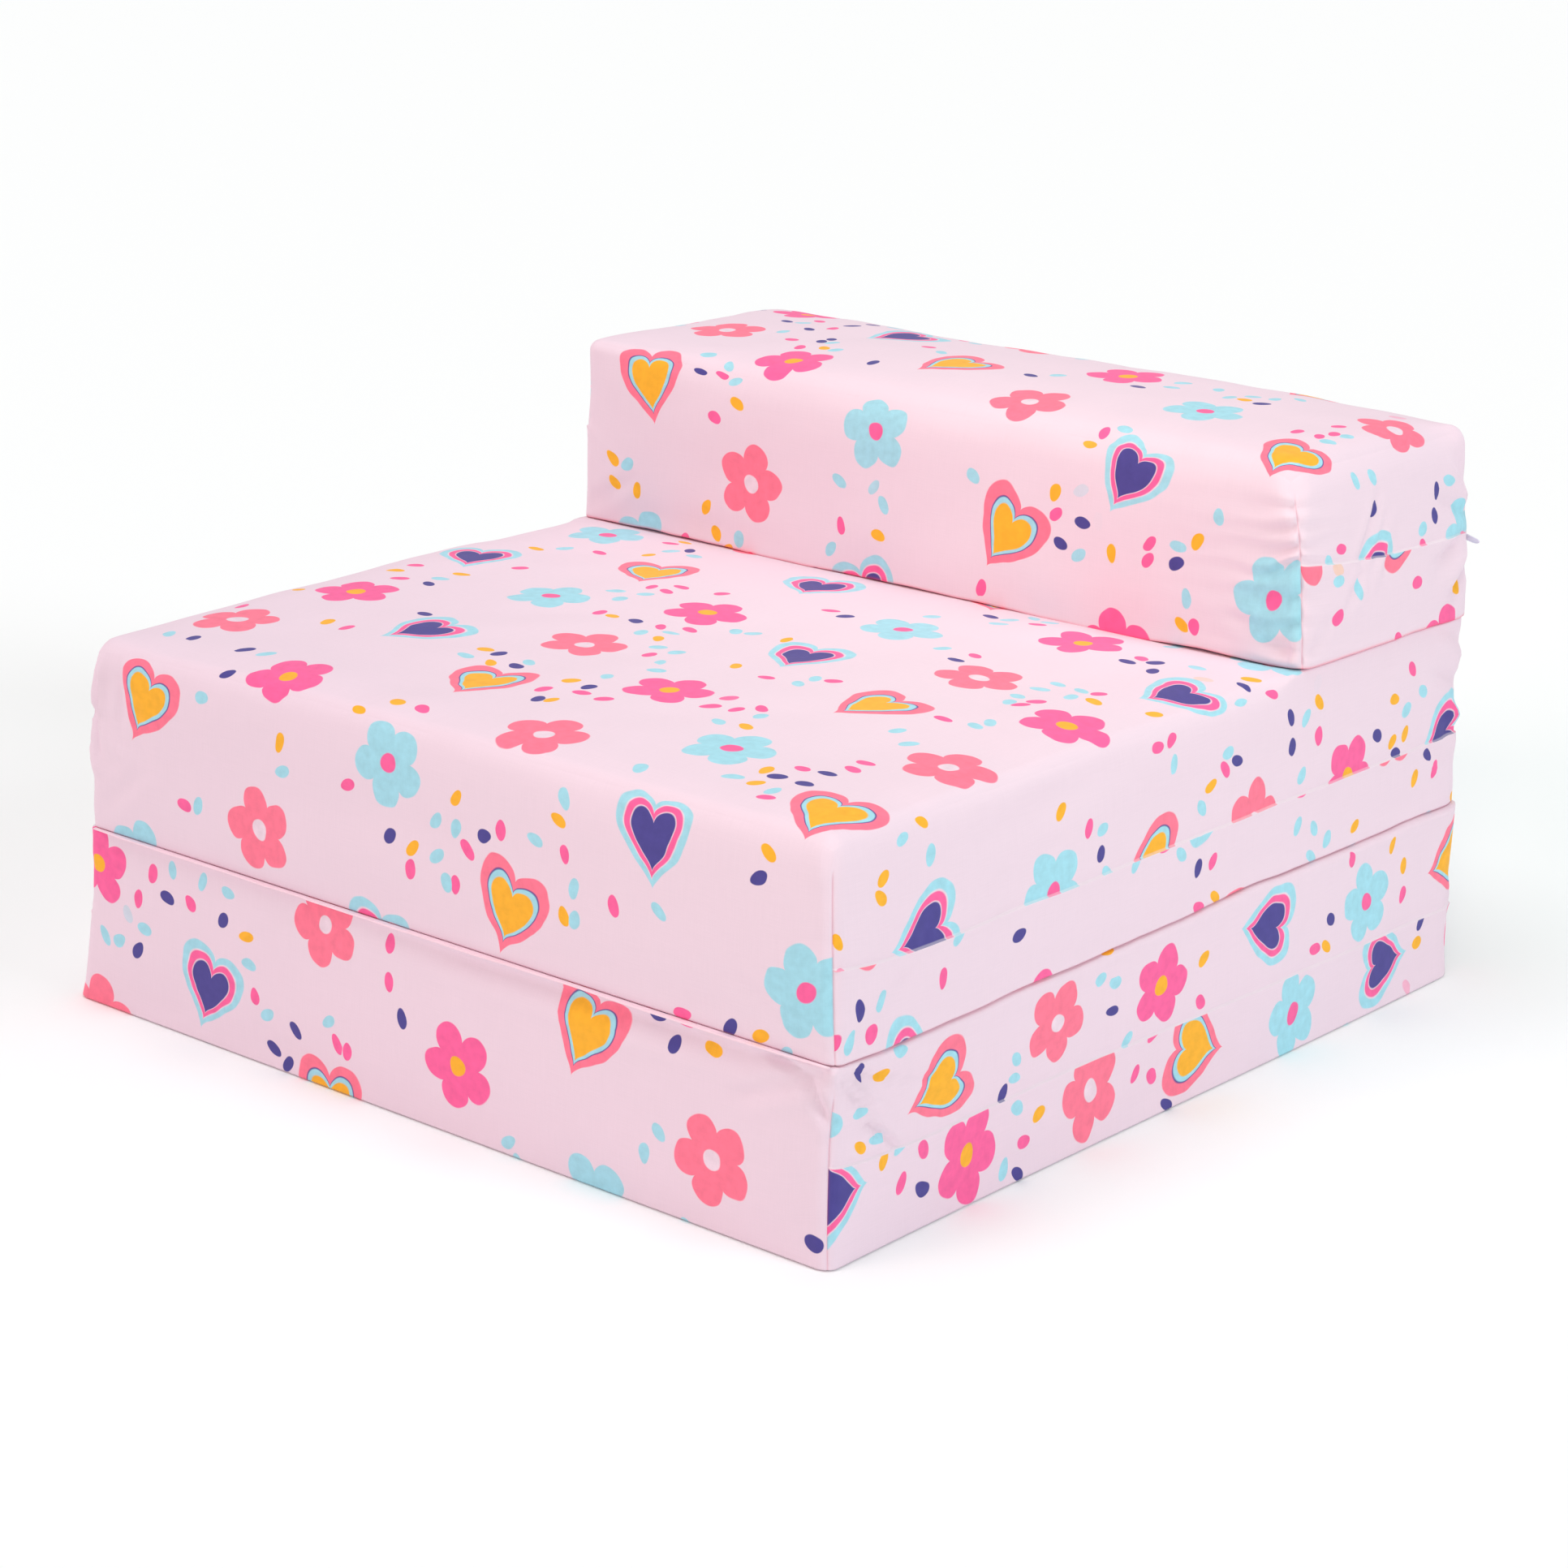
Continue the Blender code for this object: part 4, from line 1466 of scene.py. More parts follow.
    def seam_relief(self, lattice: Lattice) -> Array:
        """Height of the seams and of the puckers beside them.

        Args:
            lattice: the fine lattice of the cover.

        Returns:
            A height for each place.
        """
        block = self.block
        box = lattice.points
        sides = lattice.on(Side.LEFT) | lattice.on(Side.RIGHT)
        off = box[:, 2] - block.seam
        ends = ramp(0.0, self.seam_end, block.depth / 2 - np.abs(box[:, 1]))
        (above, above_reach), (under, under_reach) = self.lip_above, self.lip_below
        lip = np.where(
            off > 1e-6, above * np.exp(-off / above_reach), under * np.exp(np.minimum(off, 0) / under_reach))
        ripple = lumps(box[:, 1] * self.ripple_scale, block.underside * 9, box[:, 0] * 3.0)
        ripple *= self.ripple_height * np.exp(-np.abs(off) / self.ripple_reach) * (
            1 - bell(off, self.ripple_gap))
        height = (lip * self.seam_depth + ripple) * sides * ends
        end = block.height * self.seam_top_share
        below = 1 - ramp(block.height * (self.seam_top_share - 0.05), end, box[:, 2])
        for corner, puckers in zip((-1, 1), block.puckers):
            height += self.corner_relief(box, corner, puckers) * below
        return height * (ramp(0.0, self.relief_foot, box[:, 2]) * 0.6 + 0.4)

    def corner_relief(self, box: Array, corner: int, puckers: SeamPuckers) -> Array:
        """Height of a front corner seam and of the puckers beside it.

        Args:
            box: places on the plain box.
            corner: -1 for the left corner, 1 for the right.
            puckers: the puckers of this corner.

        Returns:
            A height for each place, as if the seam ran on to the top.
        """
        across = HALF_WIDTH - corner * box[:, 0]
        back = box[:, 1] + self.block.depth / 2
        gap = np.hypot(np.maximum(across, 0), np.maximum(back, 0))
        line = bell(gap, self.seam_width) * self.seam_depth
        drift = lumps(box[:, 2] * 60.0, puckers.seed, gap * 30.0)
        rows = np.sin(box[:, 2] / puckers.pitch * math.pi + drift * 2.5) * 0.5
        fade = np.exp(-gap / puckers.reach) * (1 - bell(gap, self.pucker_gap))
        front = np.where(back < 1e-6, 1.0, 0.45)
        return rows * puckers.strength * 2.2 * fade * front - line

    def seam_bow(self, box: Array) -> Array:
        """Rise of the side seam towards the front corner.

        Args:
            box: places on the plain box.

        Returns:
            A move in Z for each place.
        """
        block = self.block
        back = box[:, 1] + block.depth / 2
        across = HALF_WIDTH - np.abs(box[:, 0])
        dip = self.dip_depth * bell(back - self.dip_place, self.dip_length)
        bow = self.bow_height * bell(back, self.bow_length) - dip
        rise = bow + block.seam_rise * (1 - np.clip(back / block.depth, 0.0, 1.0))
        near = bell(box[:, 2] - block.seam, self.bow_reach)
        near *= ramp(0.0, self.bow_room, box[:, 2]) * ramp(0.0, self.bow_room, block.height - box[:, 2])
        return rise * near * bell(across, self.bow_width)

    def lean(self, box: Array) -> Array:
        """How far each place moves across as the ends stand out or draw in.

        Args:
            box: places on the plain box.

        Returns:
            A move in X for each place.
        """
        block = self.block
        up = box[:, 2] / block.height
        moved = np.zeros(len(box))
        for sign, end in zip((-1, 1), block.ends):
            share = np.clip(sign * box[:, 0] / HALF_WIDTH, 0.0, 1.0) ** 3
            moved += sign * share * (end.foot * (1 - up) ** 1.5 + end.top * up ** 1.5)
        right = np.clip(box[:, 0] / HALF_WIDTH, 0.0, 1.0) ** 3
        rear = ramp(-block.depth / 2, block.depth / 2, box[:, 1])
        return moved + right * rear * (1 - 0.5 * up) * block.rear_spread

    def creases(self, box: Array) -> Array:
        """Rise of the rims above and below, where the block meets its neighbours.

        Args:
            box: places on the plain box.

        Returns:
            A move in Z for each place.
        """
        block = self.block
        y = box[:, 1] + block.centre
        rim = np.minimum(HALF_WIDTH - np.abs(box[:, 0]), box[:, 1] + block.depth / 2)
        rise = settling(box[:, 0], y) * bell(np.maximum(rim, 0.0), self.rim_rise_width)
        low = bell(box[:, 2], self.rim_rise_height) * (block.underside > 0)
        edge = REAR - block.depth + block.bare_depth + self.press_edge[0]
        pressed = (y > edge) & (not block.is_top)
        high = bell(block.height - box[:, 2], self.rim_rise_height) * pressed
        return rise * np.maximum(low, high)

    def end_lean(self, box: Array) -> Array:
        """Lean of the ends, eased where the zip's ends sit."""
        start, end = (self.block.depth / 2 - reach for reach in self.zip_ease_reach)
        return self.lean(box) * (1 - ramp(start, end, box[:, 1]) * self.zip_ease_share)

    def zip_pocket(self, lattice: Lattice) -> Array:
        """How far each place of the back goes in to make room for the zip.

        Args:
            lattice: the fine lattice of the cover.

        Returns:
            A depth for each place.
        """
        box = lattice.points
        up = np.abs(box[:, 2] - self.block.seam) - SLIT_HALF_HEIGHT
        out = np.abs(box[:, 0]) - self.slit_half_length
        tall, wide = np.interp(up, *self.POCKET_LIPS), np.interp(out, *self.POCKET_ENDS)
        return np.minimum(tall, wide) * self.pocket_depth * lattice.on(Side.BACK)

    def plump(self, lattice: Lattice) -> Array:
        """Place of each point on the filled block, before seams, folds and lean."""
        return self.crowned(lattice.points, self.rounded(lattice.points)) + self.filled(lattice)

    def shaped(self, lattice: Lattice) -> Array:
        """Shape the cover.

        Args:
            lattice: the fine lattice of the cover.

        Returns:
            The place of each point in the frame, in metres.
        """
        block = self.block
        box = lattice.points
        soft = self.plump(lattice)
        out = lattice.normals(soft)
        height = self.undulation(box) * self.free_share(box, self.free_reach) + self.seam_relief(lattice)
        for fold in block.folds:
            height += fold.lift(box) * self.free_share(box, self.fold_free_reach)
        pocket = self.zip_pocket(lattice)
        soft += out * (height * (pocket < 1e-6))[:, None]
        soft[:, 2] += self.seam_bow(box) + self.creases(box)
        soft[:, 0] += self.end_lean(box)
        back = lattice.on(Side.BACK)
        near_zip = bell(box[:, 2] - block.seam, self.zip_flat_height) * back
        flat = soft[:, 1] * (1 - near_zip) + (block.depth / 2) * near_zip
        soft[:, 1] = np.where(back, flat, soft[:, 1])
        soft[:, 1] -= pocket
        return soft + np.array([0.0, block.centre, block.underside])

    def print_places(self, lattice: Lattice) -> Array:
        """Place on the cut cloth of each corner of each face.

        Args:
            lattice: the fine lattice of the cover.

        Returns:
            A row of two lengths in metres for each face corner.
        """
        block = self.block
        corners = lattice.points[lattice.quads]
        x, y, z = corners[..., 0], corners[..., 1] + block.depth / 2, corners[..., 2]
        upper = (z.mean(axis=1) > block.seam)[:, None]
        sides = lattice.sides[:, None]
        top, under = block.height + y, -y
        sign = np.sign(x.mean(axis=1))[:, None]
        behind = np.where(upper, 2 * block.height + block.depth - z, -block.depth - z)
        v = np.where(sides == Side.TOP.value, top, under)
        v = np.where(sides == Side.FRONT.value, z, v)
        v = np.where(sides == Side.BACK.value, behind, v)
        flank = (sides == Side.LEFT.value) | (sides == Side.RIGHT.value)
        u = np.where(flank, sign * (HALF_WIDTH + np.where(upper, block.height - z, z)), x)
        v = np.where(flank, np.where(upper, top, under), v)
        shift = block.print_shift
        return np.stack([u + shift[0], v + shift[1]], -1).reshape(-1, 2)

    def crease_shade_and_seam_line(self, box: Array) -> Array:
        """How much painted shade, with reflected pink, each place gets in the crease against the block
        below, with a darker line along the front corner seams.

        Args:
            box: places on the plain box.

        Returns:
            Shares between 0 and 1.
        """
        block = self.block
        half = block.depth / 2
        across = HALF_WIDTH - np.abs(box[:, 0])
        back = np.maximum(box[:, 1] + half, 0)
        gap = np.hypot(across, back)
        below = 1 - ramp(block.height * 0.80, block.height * self.seam_top_share, box[:, 2])
        rim = np.minimum(across, np.minimum(back, half - box[:, 1]))
        reach = self.crease_reach * (self.top_crease_factor if block.is_top else 1.0)
        # Painted shade where the block meets the one below it, near its outer rims.
        low = bell(box[:, 2], reach) * (block.underside > 0)
        low *= bell(rim, self.crease_rim)
        # Darker line along the front corner seams.
        corner = bell(gap, self.corner_line) * self.corner_tint * below
        return np.clip(low * self.painted_crease_share + corner, 0.0, 1.0)

    def seam_light(self, box: Array) -> Array:
        """How much painted highlight lies along the ledge of a side seam, from 0 to 1."""
        off = box[:, 2] - self.block.seam
        side = HALF_WIDTH - np.abs(box[:, 0]) < 1e-6
        return bell(off - self.seam_highlight_level, self.seam_highlight_width) * side

    def foam(self, finishes: Finishes) -> Object:
        """Build the foam, which takes the shape of the cover that holds it.

        Args:
            finishes: the sofa's materials.

        Returns:
            The foam.
        """
        block = self.block
        name, node = block.name + "_foam", block.name + "_foam_core"
        lattice = self.even_lattice(self.foam_pitch)
        box = lattice.points
        soft = self.plump(lattice)
        soft -= lattice.normals(soft) * self.foam_room
        soft[:, 0] += self.end_lean(box)
        soft[:, 2] += self.creases(box)
        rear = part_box(node)[1].y - block.centre - self.foam_rear_room
        soft[:, 1] = np.minimum(soft[:, 1], rear)
        placed = soft + np.array([0.0, block.centre, block.underside])
        obj = link_mesh(name, mesh_from(name, placed, lattice.quads), finishes.foam)
        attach(obj, block.name)
        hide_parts(node)
        return obj

    def build(self, finishes: Finishes) -> Object:
        """Build the cover and hand it to the frame.

        Args:
            finishes: the sofa's materials.

        Returns:
            The cover.
        """
        name = self.block.name
        lattice = Lattice(self.lines())
        mesh = mesh_from(name + "_cloth", self.shaped(lattice), lattice.quads)
        layer = mesh.uv_layers.new(name="print")
        layer.data.foreach_set("uv", self.print_places(lattice).astype(np.float32).ravel())
        # Masks for the material: painted shade in the creases, with the corner seam line, and a painted
        # highlight along the side seams.
        for title, shares in (("crease", self.crease_shade_and_seam_line), ("seam_light", self.seam_light)):
            held = mesh.attributes.new(title, "FLOAT", "POINT")
            held.data.foreach_set("value", shares(lattice.points).astype(np.float32))
        obj = link_mesh(name + "_cloth", mesh, finishes.printed)
        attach(obj, name)
        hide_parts(name + "_cover")
        return obj


@dataclass
class HingeStrip:
    """A folded strip of cloth that joins two blocks along a crease.

    Attributes:
        name: name of the piece.
        node: the CAD node that it stands for.
        bodies: the lower and the upper block; not used.
        edge: Y of the crease's outer edge.
        facing: -1 where the strip shows at the front, 1 at the rear.
        level: height of the crease.
        reach: how far the strip stands out from the edge.
        ends: X of its left and its right end.
    """

    name: str
    node: str
    bodies: tuple[str, str]
    edge: float
    facing: int
    level: float
    reach: float
    ends: tuple[float, float]
    thickness: float = 0.0005
    edge_radius: float = 0.0009
    grip_angle: float = math.radians(42.0)
    sink: float = 0.00015
    fold_share: float = 0.55
    path_pitch: float = 0.0008
    steps: int = 140
    end_length: float = 0.035
    end_tuck: float = 0.45
    slow_waver: float = 0.0007
    quick_waver: float = 0.0003
    level_waver: float = 0.0006
    least_flat_width: float = 0.0101

    def section(self) -> Array:
        """Middle line of the folded strip.

        Returns:
            Rows of Y and Z from one block round the fold to the other, close together.
        """
        radius = self.edge_radius + self.thickness * 0.5
        start = np.array([
            self.edge + self.facing * (math.cos(self.grip_angle) * radius - self.edge_radius),
            self.level - self.edge_radius - self.sink + math.sin(self.grip_angle) * radius,
        ])
        fold = self.thickness * self.fold_share
        tip = self.edge + self.facing * self.reach
        bend = [
            np.array([tip + self.facing * math.sin(turn) * fold, self.level - math.cos(turn) * fold])
            for turn in np.linspace(0.0, math.pi, 7)
        ]
        path = [start] + bend + [np.array([start[0], 2 * self.level - start[1]])]
        dense = [start]
        for first, second in zip(path, path[1:]):
            count = max(int(np.linalg.norm(second - first) / self.path_pitch), 1)
            dense += [first + (second - first) * step / count for step in range(1, count + 1)]
        return np.array(dense)

    def outline(self, path: Array) -> Array:
        """Closed outline of the strip's thickness.

        Args:
            path: the strip's middle line.

        Returns:
            Rows of Y and Z, round the strip.
        """
        tangent = np.gradient(path, axis=0)
        tangent /= np.linalg.norm(tangent, axis=1, keepdims=True)
        normal = np.stack([-tangent[:, 1], tangent[:, 0]], 1)
        half = self.thickness / 2
        return np.concatenate([path + normal * half, (path - normal * half)[::-1]])

    def slice_at(self, x: float, ring: Array) -> Array:
        """Outline of the strip at one place, where it is tucked in at the ends and wavers.

        Args:
            x: the place.
            ring: the plain outline.

        Returns:
            Rows of X, Y and Z.
        """
        row = np.empty((len(ring), 3))
        row[:, 0] = x
        row[:, 1:] = ring
        out = np.clip((ring[:, 0] - self.edge) * self.facing / self.reach, 0.0, 1.0)
        inside = min(x - self.ends[0], self.ends[1] - x)
        short = self.end_tuck * (1 - ramp(0.0, self.end_length, inside))
        drift = noise.noise(Vector((x * 14.0, self.level * 7, 0.0))) * self.slow_waver
        fine = noise.noise(Vector((x * 55.0, self.level * 7, 3.0))) * self.quick_waver
        row[:, 1] += self.facing * out * (drift + fine - short * self.reach)
        row[:, 2] += out * noise.noise(Vector((x * 20.0, 9.0, self.level))) * self.level_waver
        return row

    def closed_mesh(self, ring: Array) -> Mesh:
        """Mesh of the strip, with closed ends and its faces outwards.

        Args:
            ring: the plain outline.

        Returns:
            The mesh.
        """
        places = np.linspace(*self.ends, self.steps + 1)
        points = np.concatenate([self.slice_at(x, ring) for x in places])
        count = len(ring)
        at = np.arange(count)
        after = (at + 1) % count
        band = np.stack([at, after, after + count, at + count], 1)
        mesh = mesh_from(self.name, points, np.concatenate([band + count * n for n in range(self.steps)]))
        build = bmesh.new()
        build.from_mesh(mesh)
        holes = [edge for edge in build.edges if edge.is_boundary]
        bmesh.ops.holes_fill(build, edges=holes, sides=0)
        ends = [face for face in build.faces if len(face.verts) > 4]
        bmesh.ops.triangulate(build, faces=ends)
        bmesh.ops.recalc_face_normals(build, faces=build.faces[:])
        build.to_mesh(mesh)
        build.free()
        return mesh

    def build(self, finishes: Finishes) -> Object:
        """Build the strip in place of its CAD node.

        Args:
            finishes: the sofa's materials.

        Returns:
            The strip.
        """
        path = self.section()
        obj = link_mesh(self.name, self.closed_mesh(self.outline(path)), finishes.strip)
        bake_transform(obj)
        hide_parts(self.node)
        return obj


class RowTree:
    """Geometry Nodes that set one small part in a straight row."""

    def __init__(self, name: str, sizes: dict[str, float]) -> None:
        """Start the tree.

        Args:
            name: name of the tree.
            sizes: named inputs for sizes and their values.
        """
        self.tree = bpy.data.node_groups.new(name, "GeometryNodeTree")
        face = self.tree.interface
        face.new_socket("Geometry", in_out="INPUT", socket_type="NodeSocketGeometry")
        face.new_socket("Geometry", in_out="OUTPUT", socket_type="NodeSocketGeometry")
        self.keys = {}
        for title, kind in (
            ("Count", "NodeSocketInt"), ("Start", "NodeSocketVector"), ("Pitch", "NodeSocketVector"),
            ("Turn", "NodeSocketVector"), ("Material", "NodeSocketMaterial"),
        ):
            self.keys[title] = face.new_socket(title, in_out="INPUT", socket_type=kind).identifier
        for title in sizes:
            socket = face.new_socket(title, in_out="INPUT", socket_type="NodeSocketFloat")
            self.keys[title] = socket.identifier
        self.sizes = sizes
        self.wire = Wiring(self.tree)
        self.entry = self.wire.node("NodeGroupInput")
        self.leave = self.wire.node("NodeGroupOutput")

    def size(self, title: str, factor: float = 1.0) -> Socket:
        """A size input, times a factor."""
        return self.wire.times(self.entry.outputs[title], factor)

    def finish(self, part: Socket) -> None:
        """Set the part in its row and end the tree.

        Args:
            part: output with the part's mesh.
        """
        wire, given = self.wire, self.entry.outputs
        line = wire.node("GeometryNodeMeshLine", mode="OFFSET")
        wire.fill(line, Count=given["Count"], Start_Location=given["Start"], Offset=given["Pitch"])
        place = wire.node("GeometryNodeInstanceOnPoints")
        wire.fill(place, Points=line.outputs["Mesh"], Instance=part, Rotation=given["Turn"])
        real = wire.node("GeometryNodeRealizeInstances")
        wire.fill(real, Geometry=place.outputs["Instances"])
        paint = wire.node("GeometryNodeSetMaterial")
        wire.fill(paint, Geometry=real.outputs["Geometry"], Material=given["Material"])
        wire.fill(self.leave, Geometry=paint.outputs["Geometry"])

    def row(self, name: str, count: int, start: Point, pitch: Point, turn: Point,
            material: Material) -> Mesh:
        """Run the tree once.

        Args:
            name: name of the mesh.
            count: how many parts.
            start: place of the first part.
            pitch: step from part to part.
            turn: turn of each part, as angles about X, Y and Z.
            material: the parts' material.

        Returns:
            The row as a plain mesh.
        """
        carrier = new_object(name + "_row", bpy.data.meshes.new(name + "_row"))
        modifier = carrier.modifiers.new("Row", "NODES")
        modifier.node_group = self.tree
        values = {"Count": count, "Start": start, "Pitch": pitch, "Turn": turn, "Material": material}
        for title, value in {**values, **self.sizes}.items():
            modifier[self.keys[title]] = value
        bpy.context.view_layer.update()
        graph = bpy.context.evaluated_depsgraph_get()
        mesh = bpy.data.meshes.new_from_object(carrier.evaluated_get(graph))
        carrier.modifiers.remove(modifier)
        bpy.data.objects.remove(carrier, do_unlink=True)
        mesh.name = name
        return mesh


def tooth_tree() -> RowTree:
    """Tree for a row of zip teeth: a neck with a round head.

    Returns:
        The finished tree.
    """
    tree = RowTree("Zip teeth row", {"Width": 0.0011, "Reach": 0.0028, "Thickness": 0.0020})
    wire = tree.wire
    neck = wire.node("GeometryNodeMeshCube")
    size = wire.joined(tree.size("Width"), tree.size("Thickness"), tree.size("Reach"))
    wire.fill(neck, Size=size)
    head = wire.node("GeometryNodeMeshCylinder")
    wire.fill(head, Vertices=10, Radius=tree.size("Width", 0.66), Depth=tree.size("Thickness", 0.92))
    turned = wire.node("GeometryNodeTransform")
    lift = wire.joined(0.0, 0.0, tree.size("Reach", 0.42))
    wire.fill(turned, Geometry=head.outputs["Mesh"], Rotation=(math.pi / 2, 0.0, 0.0), Translation=lift)
    both = wire.node("GeometryNodeJoinGeometry")
    wire.feed(both.inputs["Geometry"], neck.outputs["Mesh"])
    wire.feed(both.inputs["Geometry"], turned.outputs["Geometry"])
    tree.finish(both.outputs["Geometry"])
    return tree


def stitch_tree() -> RowTree:
    """Tree for a row of stitches, each a plump dash of thread.

    Returns:
        The finished tree.
    """
    tree = RowTree("Stitch row", {"Length": 0.0024, "Thread": 0.0005})
    wire = tree.wire
    bead = wire.fill(wire.node("GeometryNodeMeshUVSphere"), Segments=6, Rings=5, Radius=0.5)
    shaped = wire.node("GeometryNodeTransform")
    size = wire.joined(tree.size("Length"), tree.size("Thread"), tree.size("Thread"))
    wire.fill(shaped, Geometry=bead.outputs["Mesh"], Scale=size)
    tree.finish(shaped.outputs["Geometry"])
    return tree


@dataclass
class Zip:
    """The zip across the back of one cover.

    Attributes:
        block: the block in the cover.
        closed_end: end where the slider rests, -1 for the left and 1 for the right.
    """

    block: Block
    closed_end: int
    pitch: float = 0.0030
    row_offset: float = 0.0011
    stitch_half_length: float = 0.289
    stitch_pitch: float = 0.0034
    stitch_gap: float = 0.0024
    stitch_lift: float = 0.0001
    slider_bevel: float = 0.00016
    pull_bevel: float = 0.00012
    pull_droop: float = math.radians(12.0)
    pull_taper: float = 0.5

    MERGE_DISTANCE = 0.00001
    FLAT_ANGLE, SHARP_ANGLE = 0.02, 0.5
    SHADED_ANGLE = math.radians(40)

    @property
    def level(self) -> float:
        """Height of the zip above the floor."""
        return self.block.underside + self.block.seam

    def teeth(self, tree: RowTree, finishes: Finishes) -> None:
        """Set both rows of teeth.

        Args:
            tree: tree of the teeth.
            finishes: the sofa's materials.
        """
        for row, sign in (("upper", 1), ("lower", -1)):
            node = f"{self.block.name}_zip_teeth_{row}"
            low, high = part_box(node)
            run = high.x - low.x - self.pitch
            count = int(run / self.pitch)
            start = low.x + self.pitch * (0.5 if sign > 0 else 1.0)
            mesh = tree.row(
                node + "_moulded", count,
                (start, (low.y + high.y) / 2, self.level + sign * self.row_offset), (self.pitch, 0.0, 0.0),
                (0.0, math.pi if sign > 0 else 0.0, 0.0), finishes.teeth,
            )
            obj = link_mesh(node + "_moulded", mesh, finishes.teeth)
            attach(obj, self.block.name)
            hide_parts(node)

    def stitches(self, tree: RowTree, finishes: Finishes) -> None:
        """Sew the lips of the cover to the tapes.

        Args:
            tree: tree of the stitches.
            finishes: the sofa's materials.
        """
        count = int(2 * self.stitch_half_length / self.stitch_pitch)
        meshes = []
        for sign in (-1, 1):
            level = self.level + sign * (SLIT_HALF_HEIGHT + self.stitch_gap)
            meshes.append(tree.row(
                f"{self.block.name}_stitches", count,
                (-self.stitch_half_length, REAR + self.stitch_lift, level), (self.stitch_pitch, 0.0, 0.0),
                (0.0, 0.0, 0.0), finishes.thread,
            ))
        whole = bmesh.new()
        for mesh in meshes:
            whole.from_mesh(mesh)
        meshes[0].clear_geometry()
        whole.to_mesh(meshes[0])
        whole.free()
        obj = link_mesh(f"{self.block.name}_zip_stitches", meshes[0], finishes.thread)
        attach(obj, self.block.name)

    def smoothed(self, node: str, body: str, material: Material,
                 bevel: float, shape: Callable[[Vector], Vector] | None = None) -> Object:
        """Replace a CAD node by a copy of it with broken edges.

        Args:
            node: the CAD node.
            body: the body that it rides on.
            material: its material.
            bevel: width of the broken edge.
            shape: moves each point of the copy to its place, or None.

        Returns:
            The new piece.
        """
        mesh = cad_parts[node].data.copy()
        build = bmesh.new()
        build.from_mesh(mesh)
        bmesh.ops.remove_doubles(build, verts=build.verts[:], dist=self.MERGE_DISTANCE)
        flat = [e for e in build.edges if e.is_manifold and e.calc_face_angle() < self.FLAT_ANGLE]
        bmesh.ops.dissolve_edges(build, edges=flat, use_verts=False, use_face_split=False)
        sharp = [e for e in build.edges if e.is_manifold and e.calc_face_angle() > self.SHARP_ANGLE]
        bmesh.ops.bevel(build, geom=sharp, offset=bevel, segments=2, profile=0.6,
                        affect="EDGES", clamp_overlap=True)
        bmesh.ops.triangulate(build, faces=build.faces[:])
        if shape is not None:
            for vert in build.verts:
                vert.co = shape(vert.co)
        build.to_mesh(mesh)
        build.free()
        obj = link_mesh(node + "_finished", mesh, material)
        mesh.set_sharp_from_angle(angle=self.SHADED_ANGLE)
        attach(obj, body)
        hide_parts(node)
        return obj

    def build(self, teeth: RowTree, stitches: RowTree, finishes: Finishes) -> None:
        """Build the zip's pieces.

        Args:
            teeth: tree of the teeth.
            stitches: tree of the stitches.
            finishes: the sofa's materials.
        """
        name = self.block.name
        self.teeth(teeth, finishes)
        self.stitches(stitches, finishes)
        self.smoothed(
            f"{name}_zip_slider", f"{name}_slider", finishes.slider, self.slider_bevel)
        self.smoothed(
            f"{name}_zip_pull", f"{name}_pull", finishes.slider, self.pull_bevel,
            self.hanging())
        for row in ("upper", "lower"):
            dress(f"{name}_zip_tape_{row}", finishes.tape)
            dress(f"{name}_zip_top_stop_{row}", finishes.teeth)
        dress(f"{name}_zip_bottom_stop", finishes.teeth)

    def hanging(self) -> Callable[[Vector], Vector]:
        """Way to narrow the pull towards its free end and let it droop.

        Returns:
            A function from a place on the CAD's pull to its place on the finished one.
        """
        low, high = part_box(f"{self.block.name}_zip_pull")
        pivot = Vector((low.x if self.closed_end > 0 else high.x, (low.y + high.y) / 2, self.level))
        turn = Matrix.Rotation(self.closed_end * self.pull_droop, 4, "Y")
        turn = Matrix.Translation(pivot) @ turn @ Matrix.Translation(-pivot)
        length = high.x - low.x

        def hung(place: Vector) -> Vector:
            """Move one place of the pull."""
            along = abs(place.x - pivot.x) / length
            slim = 1 - self.pull_taper * float(ramp(0.25, 1.0, along))
            return turn @ Vector((place.x, place.y, pivot.z + (place.z - pivot.z) * slim))

        return hung


def dress(node: str, material: Material) -> None:
    """Give a CAD node its material.

    Args:
        node: name of the node.
        material: its material.
    """
    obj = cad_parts[node]
    if not obj.material_slots:
        obj.data.materials.append(material)
    for slot in obj.material_slots:
        slot.material = material


